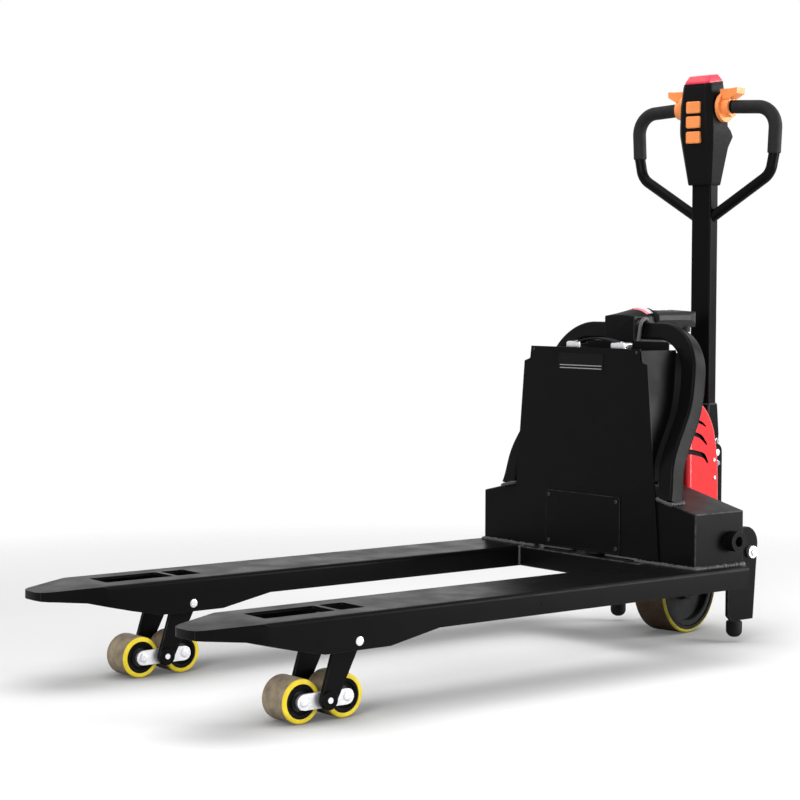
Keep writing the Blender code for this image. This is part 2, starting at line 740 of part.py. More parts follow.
def hoop_front(height):
    """X of the hoop's front face at a height."""
    middle = HOOP_FOOT[0] + (height - HOOP_FOOT[2]) * HOOP_LEAN + leg_sway(height)
    return middle - HOOP_SIZE / 2 / HOOP_NORMAL.x


def front_panel(parent):
    """Tall front panel with a service opening and a folded gusset on each side, and its screwed cover."""
    half = [
        (PANEL_BOTTOM_HALF, PANEL_BOTTOM),
        (PANEL_SHOULDER_HALF, PANEL_SHOULDER),
        (PANEL_TOP_HALF + SHEET, PANEL_SHOULDER + SHEET),
        (PANEL_TOP_HALF, PANEL_SHOULDER + 2 * SHEET),
        (PANEL_TOP_HALF, PANEL_TOP),
    ]
    outline = half + [(-y, z) for y, z in reversed(half)]
    shape = prism(outline, "X", *PANEL_X)
    open_half, open_low, open_high = PANEL_OPENING
    opening = block((0.0, -open_half, open_low), (BOX_X[1], open_half, open_high))
    shape = carved(shape, opening)
    overlap = PANEL_X[0] + GUSSET_SET_IN
    for sign in SIDES.values():
        rings = []
        for set_in in (GUSSET_SET_IN, GUSSET_SET_IN + GUSSET_THICKNESS):
            low_y = panel_half(GUSSET_FOOT) - set_in
            high_y = PANEL_TOP_HALF + GUSSET_THICKNESS - set_in
            fall = (low_y - high_y) / (GUSSET_TOP - GUSSET_FOOT)
            side = [
                (overlap, GUSSET_FOOT),
                (hoop_front(GUSSET_FOOT) + GUSSET_OVERLAP, GUSSET_FOOT),
                (hoop_front(GUSSET_BEND) + GUSSET_OVERLAP, GUSSET_BEND),
                (hoop_front(GUSSET_TOP) - SHEET, GUSSET_TOP),
                (overlap, GUSSET_TOP),
            ]
            rings.append([(x, sign * (low_y - fall * (z - GUSSET_FOOT)), z) for x, z in side])
        shape = fused(shape, skin(rings))
    piece("front_panel", shape, "black_paint", parent)
    cover_low = (-COVER_HALF, COVER_Z[0])
    cover_high = (COVER_HALF, COVER_Z[1])
    rear = PANEL_X[0] - GAP
    cover = prism(rounded(cover_low, cover_high, COVER_CORNER), "X", rear - COVER_THICKNESS, rear)
    piece("access_cover", cover, "black_paint", parent)


def deck_plate(parent):
    """Flat plate between the side boxes, under the battery."""
    end = BOX_INNER_Y - GAP
    shape = block((BOX_X[0], -end, DECK_TOP - SHEET), (BOX_X[1], end, DECK_TOP))
    piece("deck_plate", shape, "black_paint", parent)


def hoop(parent):
    """Bent square tube over the battery, its feet cut to the slope of the side boxes."""
    lean_length = (HOOP_CORNER[2] - HOOP_FOOT[2]) / HOOP_ALONG.z
    foot_out = (HOOP_FOOT[1] - HOOP_CORNER[1]) / lean_length
    foot = (HOOP_FOOT[1] + foot_out * HOOP_RUN_DOWN, -HOOP_RUN_DOWN)
    corner = (HOOP_CORNER[1], lean_length)
    half_path = bent((foot, corner, (0.0, lean_length)), HOOP_CORNER_RADIUS, 9)
    leg = [half_path[0].lerp(half_path[1], i / HOOP_LEG_STEPS) for i in range(HOOP_LEG_STEPS)]
    half_path = leg + half_path[1:]
    flat_path = half_path[:-1] + [Vector((-point.x, point.y)) for point in reversed(half_path[:-1])]
    start = Vector((HOOP_FOOT[0], 0.0, HOOP_FOOT[2]))
    path = []
    for point in flat_path:
        middle = start + Vector((0, point.x, 0)) + HOOP_ALONG * point.y
        path.append(middle + Vector((leg_sway(middle.z), 0, 0)))
    half = HOOP_SIZE / 2
    section = rounded((-half, -half), (half, half), HOOP_EDGE_RADIUS, 2)
    shape = swept(path, HOOP_NORMAL, section)
    for sign in SIDES.values():
        lift = GAP * 2
        outline = [(0.0, 0.0), (2 * BOX_OUTER_Y, 0.0)]
        outline += [(2 * BOX_OUTER_Y, BOX_WALL_TOP - BOX_OUTER_Y * BOX_SLOPE + lift)]
        outline += [(BOX_INNER_Y, DECK_TOP + lift), (0.0, DECK_TOP + lift)]
        trim = prism([(sign * y, z) for y, z in outline], "X", -BOX_X[1], 2 * BOX_X[1])
        shape = carved(shape, trim)
    piece("hoop", shape, "black_paint", parent)


def battery(parent, lift_out):
    """Open-topped box on the deck, and the pack with its carrying strap that lifts out of it."""
    low = (PANEL_X[1] + GAP, -BATTERY_BOX_HALF, DECK_TOP + GAP)
    high = (BATTERY_BOX_REAR, BATTERY_BOX_HALF, BATTERY_BOX_TOP)
    inner_low = tuple(value + BATTERY_WALL for value in low)
    inner_high = (high[0] - BATTERY_WALL, high[1] - BATTERY_WALL, PANEL_TOP)
    shape = carved(block(low, high), block(inner_low, inner_high))
    piece("battery_box", shape, "black_plastic", parent)
    pack_low = tuple(value + BATTERY_CLEARANCE for value in inner_low)
    pack_high = tuple(value - BATTERY_CLEARANCE for value in inner_high[:2])
    outline = rounded(pack_low[:2], pack_high, COVER_CORNER)
    pack = prism(outline, "Z", pack_low[2], BATTERY_TOP)
    piece("battery_pack", pack, "battery_case", lift_out)
    middle = (STRAP_X[0] + STRAP_X[1]) / 2
    bottom = BATTERY_TOP + GAP
    path = []
    for i in range(13):
        along = 2 * i / 12 - 1
        rise = STRAP_RISE - (STRAP_RISE - STRAP_CLIP_HEIGHT + STRAP_THICKNESS) * along * along
        path.append(Vector((middle, STRAP_HALF * along, bottom + rise)))
    half = (STRAP_X[1] - STRAP_X[0]) / 2
    thick = STRAP_THICKNESS / 2
    section = rounded((-thick, -half), (thick, half), thick / 2, 1)
    shape = swept(path, Vector((1, 0, 0)), section)
    for sign in SIDES.values():
        clip_low = (STRAP_X[0] - thick, sign * STRAP_HALF - STRAP_CLIP_HALF, bottom)
        clip_high = (STRAP_X[1] + thick, sign * STRAP_HALF + STRAP_CLIP_HALF, bottom + STRAP_CLIP_HEIGHT)
        shape = fused(shape, block(clip_low, clip_high))
    piece("battery_strap", shape, "black_rubber", lift_out)


def crown(half, shoulder, rise):
    """Arched top from one shoulder to the other with a cut corner at each end."""
    reach = half - CONSOLE_CORNER
    sag = rise - CONSOLE_CORNER
    radius = (reach * reach + sag * sag) / (2 * sag)
    spread = math.degrees(math.asin(reach / radius))
    top = arc((0.0, shoulder + rise - radius), radius, 90 - spread, 90 + spread, 10)
    return [(half, shoulder), *top, (-half, shoulder)]


def console(parent, key_turn):
    """Housing that straddles the hoop, its visor with the key switch, the key and the power cable."""
    outline = [(CONSOLE_HALF, CONSOLE_BOTTOM)]
    outline += crown(CONSOLE_HALF, CONSOLE_SHOULDER, CONSOLE_CROWN_RISE)
    outline += [(-CONSOLE_HALF, CONSOLE_BOTTOM)]
    shape = prism(outline, "X", *CONSOLE_X)
    notch = []
    reach = HOOP_SIZE / 2 + 2 * GAP
    middle = Vector(HOOP_CORNER)
    for across, along in ((-1, -4), (1, -4), (1, 1), (-1, 1)):
        point = middle + HOOP_NORMAL * (across * reach) + HOOP_ALONG * (along * reach)
        notch.append((point.x, point.z))
    shape = carved(shape, prism(notch, "Y", -2 * CONSOLE_HALF, 2 * CONSOLE_HALF))
    piece("console_housing", shape, "black_plastic", parent)
    front = CONSOLE_X[1] + GAP
    plan = rounded((CONSOLE_X[0], -VISOR_HALF), (VISOR_END_X, VISOR_HALF), VISOR_NOSE_RADIUS, 5)
    visor = prism(plan, "Z", KEY_NECK_BOTTOM, CONSOLE_TOP)
    side = [
        (front, VISOR_FRONT_Z[0]),
        (VISOR_BELLY_X, VISOR_BELLY_Z),
        (VISOR_END_X + SHEET, VISOR_END_Z[0]),
        (VISOR_END_X + SHEET, VISOR_END_Z[1]),
        (front, VISOR_FRONT_Z[1]),
    ]
    hull = [(VISOR_KEEL_HALF, VISOR_BELLY_Z), (VISOR_HALF, CONSOLE_TOP - VISOR_RIM_DROP)]
    hull += crown(VISOR_HALF, CONSOLE_TOP - VISOR_RISE, VISOR_RISE)
    hull += [(-y, z) for y, z in reversed(hull[:2])]
    side_shape = prism(side, "Y", -2 * VISOR_HALF, 2 * VISOR_HALF)
    visor = common(visor, side_shape, prism(hull, "X", CONSOLE_X[0], 2 * VISOR_END_X))
    neck_height = VISOR_END_Z[0] - KEY_NECK_BOTTOM
    neck = rod(KEY_NECK_RADIUS, "Z", (KEY_X, KEY_Y, KEY_NECK_BOTTOM), 0, neck_height + SHEET, PIN_STEPS)
    piece("console_visor", fused(visor, neck), "black_plastic", parent)
    bow_half, bow_thick = KEY_BOW
    outline = rounded((-bow_half, KEY_BOW_Z[0]), (bow_half, KEY_BOW_Z[1]), SHEET)
    bow = prism(shifted(outline, KEY_X), "Y", KEY_Y - bow_thick / 2, KEY_Y + bow_thick / 2)
    shank_top = KEY_NECK_BOTTOM - GAP - KEY_BOW_Z[1]
    shank = rod(KEY_SHANK_RADIUS, "Z", (KEY_X, KEY_Y, KEY_BOW_Z[1]), -SHEET, shank_top, PIN_STEPS)
    piece("key", fused(bow, shank), "zinc_steel", key_turn)
    data = bpy.data.curves.new("power_cable", "CURVE")
    data.dimensions = "3D"
    data.bevel_depth = CABLE_RADIUS
    data.bevel_resolution = 2
    data.use_fill_caps = True
    spline = data.splines.new("POLY")
    spline.points.add(len(CABLE_ROUTE) - 1)
    for point, place in zip(spline.points, CABLE_ROUTE):
        point.co = (*place, 1.0)
    cable = bpy.data.objects.new("power_cable", data)
    bpy.context.scene.collection.objects.link(cable)
    piece("power_cable", cable, "black_rubber", parent)


def hydraulics(parent, rod_slide):
    """Lift cylinder through the cross member, its rod, the pump with its motor and the controller."""
    base = (CYLINDER_X, 0, 0)
    flange_low = HEEL_TOP + GAP
    bore = LIFT_ROD_RADIUS + GAP
    low, high = CYLINDER_Z
    profile = (
        (0, low),
        (CYLINDER_RADIUS, low),
        (CYLINDER_RADIUS, flange_low),
        (CYLINDER_FLANGE_RADIUS, flange_low),
        (CYLINDER_FLANGE_RADIUS, CYLINDER_FLANGE_TOP),
        (CYLINDER_RADIUS, CYLINDER_FLANGE_TOP),
        (CYLINDER_RADIUS, high),
        (bore, high),
        (bore, low + CYLINDER_FLOOR),
        (0, low + CYLINDER_FLOOR),
    )
    piece("lift_cylinder", turned(profile, "Z", base), "dark_steel", parent)
    rod_top = LIFT_CRANK_END[1] - LIFT_CRANK_TIP - LIFT_ROD_PLAY
    profile = (
        (0, LIFT_ROD_BOTTOM),
        (LIFT_ROD_RADIUS, LIFT_ROD_BOTTOM),
        (LIFT_ROD_RADIUS, LIFT_ROD_SHOULDER),
        (LIFT_ROD_TIP_RADIUS, LIFT_ROD_SHOULDER),
        (LIFT_ROD_TIP_RADIUS, rod_top),
        (0, rod_top),
    )
    piece("lift_rod", turned(profile, "Z", base), "bright_steel", rod_slide)
    centre = tuple((a + b) / 2 for a, b in zip(PUMP_LOW, PUMP_HIGH))
    motor = rod(PUMP_MOTOR_RADIUS, "Z", (centre[0], centre[1], 0), centre[2], PUMP_MOTOR_TOP)
    piece("pump_unit", fused(block(PUMP_LOW, PUMP_HIGH), motor), "cast_aluminium", parent)
    shape = block(CONTROLLER_LOW, CONTROLLER_HIGH)
    pitch = (CONTROLLER_HIGH[1] - CONTROLLER_LOW[1]) / CONTROLLER_FINS
    for i in range(CONTROLLER_FINS):
        middle = CONTROLLER_LOW[1] + pitch * (i + 0.5)
        fin_low = (CONTROLLER_LOW[0] + SHEET, middle - CONTROLLER_FIN_HALF, CONTROLLER_HIGH[2] - SHEET)
        fin_high = (CONTROLLER_HIGH[0] - SHEET, middle + CONTROLLER_FIN_HALF, CONTROLLER_FIN_TOP)
        shape = fused(shape, block(fin_low, fin_high))
    piece("controller", shape, "cast_aluminium", parent)


def torsion_shaft(parent):
    """Cross shaft with a lever to each cheek, a crank over each fork and one on the lift rod."""
    centre = (SHAFT_X, 0, SHAFT_Z)
    axis = (SHAFT_X, SHAFT_Z)
    end_start = BOX_OUTER_Y + GAP
    profile = (
        (0, -SHAFT_END_Y),
        (SHAFT_END_RADIUS, -SHAFT_END_Y),
        (SHAFT_END_RADIUS, -end_start),
        (SHAFT_RADIUS, -end_start),
        (SHAFT_RADIUS, end_start),
        (SHAFT_END_RADIUS, end_start),
        (SHAFT_END_RADIUS, SHAFT_END_Y),
        (0, SHAFT_END_Y),
    )
    shape = turned(profile, "Y", centre)
    lift_plate = strap(axis, CRANK_ROOT_RADIUS, LIFT_CRANK_END, LIFT_CRANK_TIP)
    shape = fused(shape, prism(lift_plate, "Y", -LIFT_CRANK_HALF, LIFT_CRANK_HALF))
    for sign in SIDES.values():
        outline = strap(axis, LEVER_ROOT_RADIUS, LEVER_END, LEVER_TIP_RADIUS)
        lever = prism(outline, "Y", *[sign * y for y in LEVER_Y])
        slot_radius = PIVOT_BOLT_RADIUS + LEVER_SLOT_CLEARANCE
        slot = strap(LEVER_SLOT_START, slot_radius, LEVER_END, slot_radius)
        lever = carved(lever, prism(slot, "Y", 0, sign * 2 * LEVER_Y[1]))
        middle = sign * FORK_Y
        outline = strap(axis, CRANK_ROOT_RADIUS, CRANK_PIN, CRANK_TIP_RADIUS)
        crank = prism(outline, "Y", middle - CRANK_HALF, middle + CRANK_HALF)
        pin_place = (CRANK_PIN[0], middle, CRANK_PIN[1])
        pin = rod(LINK_PIN_RADIUS, "Y", pin_place, 0, LINK_PIN_END, PIN_STEPS)
        shape = fused(shape, lever, crank, pin)
        end = (SHAFT_X, sign * SHAFT_END_Y, SHAFT_Z)
        shape = carved(shape, rod(SHAFT_SOCKET_RADIUS, "Y", end, -SHAFT_SOCKET_DEPTH, SHAFT_SOCKET_DEPTH, 6))
    piece("torsion_shaft", shape, "black_paint", parent)


def push_rod(side, parent):
    """Flat rod under the fork top from the crank to the load arm, with an upright slot at each end."""
    centre = SIDES[side] * FORK_Y
    low = centre + ROD_BAR_Y[0]
    high = centre + ROD_BAR_Y[1]
    shape = block((LUG_PIN[0], low, ROD_BAR_Z[0]), (CRANK_PIN[0], high, ROD_BAR_Z[1]))
    for x, z, play in (
        (LUG_PIN[0], ROD_FRONT_EYE_Z, ROD_FRONT_PLAY),
        (CRANK_PIN[0], ROD_REAR_EYE_Z, ROD_REAR_PLAY),
    ):
        ends = (ROD_BAR_Y[0] - ROD_EYE_EXTRA, ROD_BAR_Y[1] + ROD_EYE_EXTRA)
        eye = rod(ROD_EYE_RADIUS, "Y", (x, centre, z), *ends)
        slot = prism(stadium((x, z), play, ROD_SLOT_HALF), "Y", centre, high + SHEET)
        shape = carved(fused(shape, eye), slot)
    piece(f"push_rod_{side}", shape, "dark_steel", parent)


def load_arm(side, arm_turn, bogie_turn, wheel_spins):
    """Arm of two plates on a hub, with the bogie and its two wheels."""
    centre = SIDES[side] * FORK_Y
    pin = (ARM_PIN_X, ARM_PIN_Z)
    foot = (BOGIE_X, BOGIE_Z)
    shape = rod(ARM_HUB_RADIUS, "Y", (pin[0], centre, pin[1]), -ARM_HUB_HALF, ARM_HUB_HALF)
    outline = strap(pin, ARM_TOP_RADIUS, foot, ARM_FOOT_RADIUS)
    for sign in (-1, 1):
        shape = fused(shape, prism(outline, "Y", *[centre + sign * y for y in ARM_PLATE_Y]))
    lug = strap(pin, ARM_HUB_RADIUS - SHEET / 2, LUG_PIN, ARM_LUG_RADIUS)
    lug_shape = prism(lug, "Y", centre - ARM_LUG_HALF, centre + ARM_LUG_HALF)
    link_pin = rod(LINK_PIN_RADIUS, "Y", (LUG_PIN[0], centre, LUG_PIN[1]), 0, LINK_PIN_END, PIN_STEPS)
    shape = fused(shape, lug_shape, link_pin)
    bore = rod(ARM_PIN_RADIUS + GAP, "Y", (pin[0], centre, pin[1]), -FORK_WIDTH, FORK_WIDTH, PIN_STEPS)
    eye = rod(BOGIE_PIN_RADIUS + GAP, "Y", (foot[0], centre, foot[1]), -FORK_WIDTH, FORK_WIDTH, PIN_STEPS)
    piece(f"load_arm_{side}", carved(shape, bore, eye), "black_paint", arm_turn)
    front_x = BOGIE_X - LOAD_WHEEL_PITCH / 2
    rear_x = BOGIE_X + LOAD_WHEEL_PITCH / 2
    link = strap((front_x, BOGIE_Z), BOGIE_PLATE_RADIUS, (rear_x, BOGIE_Z), BOGIE_PLATE_RADIUS)
    shape = rod(BOGIE_PIN_RADIUS, "Y", (BOGIE_X, centre, BOGIE_Z), -BOGIE_PIN_HALF, BOGIE_PIN_HALF, PIN_STEPS)
    for sign in (-1, 1):
        shape = fused(shape, prism(link, "Y", *[centre + sign * y for y in BOGIE_PLATE_Y]))
    for x in (front_x, rear_x):
        axle = rod(LOAD_AXLE_RADIUS, "Y", (x, centre, BOGIE_Z), -LOAD_AXLE_HALF, LOAD_AXLE_HALF, PIN_STEPS)
        shape = fused(shape, axle)
    piece(f"bogie_{side}", shape, "zinc_steel", bogie_turn)
    for place, x in (("front", front_x), ("rear", rear_x)):
        load_wheel(f"{side}_{place}", (x, centre, BOGIE_Z), wheel_spins[place])


def load_wheel(name, centre, parent):
    """Polyurethane tyre on a steel hub with a sunk bearing on each side."""
    inner = LOAD_HUB_RADIUS + GAP
    edge = SHEET / 2
    tyre = (
        (inner, -LOAD_WHEEL_HALF),
        (LOAD_WHEEL_RADIUS - edge, -LOAD_WHEEL_HALF),
        (LOAD_WHEEL_RADIUS, edge - LOAD_WHEEL_HALF),
        (LOAD_WHEEL_RADIUS, LOAD_WHEEL_HALF - edge),
        (LOAD_WHEEL_RADIUS - edge, LOAD_WHEEL_HALF),
        (inner, LOAD_WHEEL_HALF),
    )
    piece(f"load_tyre_{name}", turned(tyre, "Y", centre, WHEEL_STEPS), "load_tread", parent)
    bore = LOAD_AXLE_RADIUS + GAP
    race = LOAD_HUB_RADIUS - SHEET
    sunk = LOAD_HUB_HALF - LOAD_HUB_RECESS
    hub = (
        (bore, -sunk),
        (race, -sunk),
        (race, -LOAD_HUB_HALF),
        (LOAD_HUB_RADIUS, -LOAD_HUB_HALF),
        (LOAD_HUB_RADIUS, LOAD_HUB_HALF),
        (race, LOAD_HUB_HALF),
        (race, sunk),
        (bore, sunk),
    )
    piece(f"load_hub_{name}", turned(hub, "Y", centre, WHEEL_STEPS), "bright_steel", parent)


def carriage(parent):
    """Two cheeks under a bridge with the steering bearing, their pivot bolts and rubber feet."""
    left, right = CHEEK_X
    outline = [(left + CHEEK_CORNER, CHEEK_BOTTOM), (right, CHEEK_BOTTOM)]
    outline += arc((CHEEK_TOP_X, CHEEK_TOP_Z), CHEEK_TOP_RADIUS, 0, 180, 10)
    outline += [(left, CHEEK_TOP_Z - CHEEK_TOP_RADIUS), (left, CHEEK_BOTTOM + CHEEK_CORNER)]
    reach = CHEEK_Y[0] + SHEET
    plan = mirrored([(BRIDGE_X[0], reach), (BRIDGE_END_X, reach), (BRIDGE_X[1], BRIDGE_TAPER_Y)])
    shape = prism(plan, "Z", *BRIDGE_Z)
    for sign in SIDES.values():
        shape = fused(shape, prism(outline, "Y", *[sign * y for y in CHEEK_Y]))
    bearing = rod(BEARING_RADIUS, "Z", (STEER_X, 0, BRIDGE_Z[1]), -SHEET, BEARING_TOP - BRIDGE_Z[1])
    hole_radius = KINGPIN_RADIUS + KINGPIN_CLEARANCE
    hole = rod(hole_radius, "Z", (STEER_X, 0, BRIDGE_Z[1]), -BRIDGE_Z[1], BRIDGE_Z[1])
    shape = carved(fused(shape, bearing), hole)
    bolt_hole = rod(PIVOT_BOLT_RADIUS + GAP, "Y", (PIVOT_BOLT_X, 0, PIVOT_BOLT_Z), -FORK_Y, FORK_Y)
    piece("drive_frame", carved(shape, bolt_hole), "black_paint", parent)
    for side, sign in SIDES.items():
        head = CHEEK_Y[1] + GAP
        low, high = PIVOT_BOLT_Y
        profile = (
            (0, sign * low),
            (PIVOT_BOLT_RADIUS, sign * low),
            (PIVOT_BOLT_RADIUS, sign * head),
            (PIVOT_BOLT_HEAD, sign * head),
            (PIVOT_BOLT_HEAD, sign * high),
            (0, sign * high),
        )
        bolt = turned(profile, "Y", (PIVOT_BOLT_X, 0, PIVOT_BOLT_Z), PIN_STEPS)
        piece(f"pivot_bolt_{side}", bolt, "zinc_steel", parent)
        top = CHEEK_BOTTOM - GAP
        round_z = FOOT_BOTTOM + FOOT_RADIUS
        foot = [(0, FOOT_BOTTOM)]
        foot += arc((0, round_z), FOOT_RADIUS, -60, 0, 3)
        foot += [(FOOT_RADIUS, top), (0, top)]
        middle = sign * (CHEEK_Y[0] + CHEEK_Y[1]) / 2
        piece(f"foot_{side}", turned(foot, "Z", (FOOT_X, middle, 0), WHEEL_STEPS), "black_rubber", parent)


def drive_unit(parent, wheel_spin):
    """Yoke on its kingpin with the turntable, the drive wheel, the motor, its hood and the tiller clevis."""
    outline = [
        (-YOKE_HALF, YOKE_PLATE_Z[1]),
        (YOKE_HALF, YOKE_PLATE_Z[1]),
        (YOKE_HALF, YOKE_WAIST_Z),
        (YOKE_FOOT_HALF, YOKE_FOOT_Z),
        (-YOKE_FOOT_HALF, YOKE_FOOT_Z),
        (-YOKE_HALF, YOKE_WAIST_Z),
    ]
    low, high = YOKE_PLATE_Z
    plate_end = YOKE_Y[0] + SHEET
    shape = block((-YOKE_HALF, -plate_end, low), (YOKE_HALF, plate_end, high))
    for sign in SIDES.values():
        shape = fused(shape, prism(outline, "Y", *[sign * y for y in YOKE_Y]))
    axle = rod(DRIVE_AXLE_RADIUS, "Y", (0, 0, DRIVE_RADIUS), -DRIVE_AXLE_HALF, DRIVE_AXLE_HALF)
    kingpin = rod(KINGPIN_RADIUS, "Z", (0, 0, 0), low + SHEET, TURNTABLE_Z[1] - SHEET)
    table_low = (TURNTABLE_X[0], -TURNTABLE_HALF)
    table_high = (TURNTABLE_X[1], TURNTABLE_HALF)
    table = prism(rounded(table_low, table_high, TURNTABLE_CORNER, 6), "Z", *TURNTABLE_Z)
    piece("drive_yoke", fused(shape, axle, kingpin, table), "black_paint", parent)

    centre = (0, 0, DRIVE_RADIUS)
    edge = SHEET
    inner = DRIVE_HUB_RADIUS + GAP
    tyre = (
        (inner, -DRIVE_HALF),
        (DRIVE_RADIUS - edge, -DRIVE_HALF),
        (DRIVE_RADIUS, edge - DRIVE_HALF),
        (DRIVE_RADIUS, DRIVE_HALF - edge),
        (DRIVE_RADIUS - edge, DRIVE_HALF),
        (inner, DRIVE_HALF),
    )
    piece("drive_tyre", turned(tyre, "Y", centre, DRIVE_STEPS), "drive_tread", wheel_spin)
    bore = DRIVE_AXLE_RADIUS + GAP
    sunk = DRIVE_HUB_HALF - DRIVE_HUB_RECESS
    half = [
        (bore, DRIVE_HUB_HALF),
        (DRIVE_BOSS_RADIUS, DRIVE_HUB_HALF),
        (DRIVE_BOSS_RADIUS, sunk),
        (DRIVE_HUB_RIM, sunk),
        (DRIVE_HUB_RIM, DRIVE_HUB_HALF),
        (DRIVE_HUB_RADIUS, DRIVE_HUB_HALF),
    ]
    hub = half + [(radius, -along) for radius, along in reversed(half)]
    piece("drive_hub", turned(hub, "Y", centre, DRIVE_STEPS), "dark_steel", wheel_spin)

    floor = TURNTABLE_Z[1] + GAP
    motor = (
        (0, floor),
        (MOTOR_RADIUS, floor),
        (MOTOR_RADIUS, MOTOR_TOP),
        (MOTOR_CAP_RADIUS, MOTOR_TOP),
        (MOTOR_CAP_RADIUS, MOTOR_CAP_TOP),
        (0, MOTOR_CAP_TOP),
    )
    piece("drive_motor", turned(motor, "Z", (MOTOR_X, 0, 0)), "dark_steel", parent)
    hood(parent)

    base = block((BASE_X[0], -BASE_Y[1], floor), (BASE_X[1], BASE_Y[1], BASE_FLOOR_TOP))
    ear = [(BASE_X[0], floor), (BASE_X[1], floor)]
    ear += arc((TILT_X, TILT_Z), BASE_EAR_RADIUS, 0, 150, 8)
    for sign in SIDES.values():
        base = fused(base, prism(ear, "Y", *[sign * y for y in BASE_Y]))
    tilt = (TILT_X, 0, TILT_Z)
    bolt_hole = rod(TILT_PIN_RADIUS + GAP, "Y", tilt, -2 * BASE_Y[1], 2 * BASE_Y[1], PIN_STEPS)
    piece("tiller_base", carved(base, bolt_hole), "black_paint", parent)
    pin = rod(TILT_PIN_RADIUS, "Y", tilt, -TILT_PIN_HALF, TILT_PIN_HALF, PIN_STEPS)
    piece("tilt_pin", pin, "zinc_steel", parent)


def hood_ring(half, step, drop):
    """Hood outline at a distance from the centre plane, drawn in by a step and let down at its open edge."""
    left, bottom = HOOD_OUTLINE[0]
    right = HOOD_OUTLINE[1][0]
    middle = (left + right) / 2
    top = max(z for _, z in HOOD_OUTLINE)
    across = 1 - 2 * step / (right - left)
    upwards = 1 - step / (top - bottom)
    ring = []
    for x, z in HOOD_OUTLINE:
        height = bottom + (z - bottom) * upwards if z > bottom else bottom - drop
        ring.append((middle + (x - middle) * across, half, height))
    return ring


def hood(parent):
    """Domed red hood over the motor, open below, with three slanting vents on each side."""
    full = HOOD_HALF - HOOD_EDGE
    rings = ((-HOOD_HALF, HOOD_EDGE), (-full, 0.0), (full, 0.0), (HOOD_HALF, HOOD_EDGE))
    shape = skin([hood_ring(y, step, 0.0) for y, step in rings])
    inner = HOOD_HALF - HOOD_WALL
    far = HOOD_EDGE + HOOD_WALL
    rings = ((-inner, far), (-full, HOOD_WALL), (full, HOOD_WALL), (inner, far))
    shape = carved(shape, skin([hood_ring(y, step, SHEET) for y, step in rings]))
    for start, end in HOOD_SLOTS:
        heading = Vector((end[0] - start[0], end[1] - start[1])).normalized()
        across = Vector((-heading.y, heading.x)) * (HOOD_SLOT_HEIGHT / 2)
        outline = [Vector(start) - across, Vector(end) - across, Vector(end) + across, Vector(start) + across]
        vent = prism([tuple(point) for point in outline], "Y", -2 * HOOD_HALF, 2 * HOOD_HALF)
        shape = carved(shape, vent)
    piece("motor_hood", shape, "red_plastic", parent)


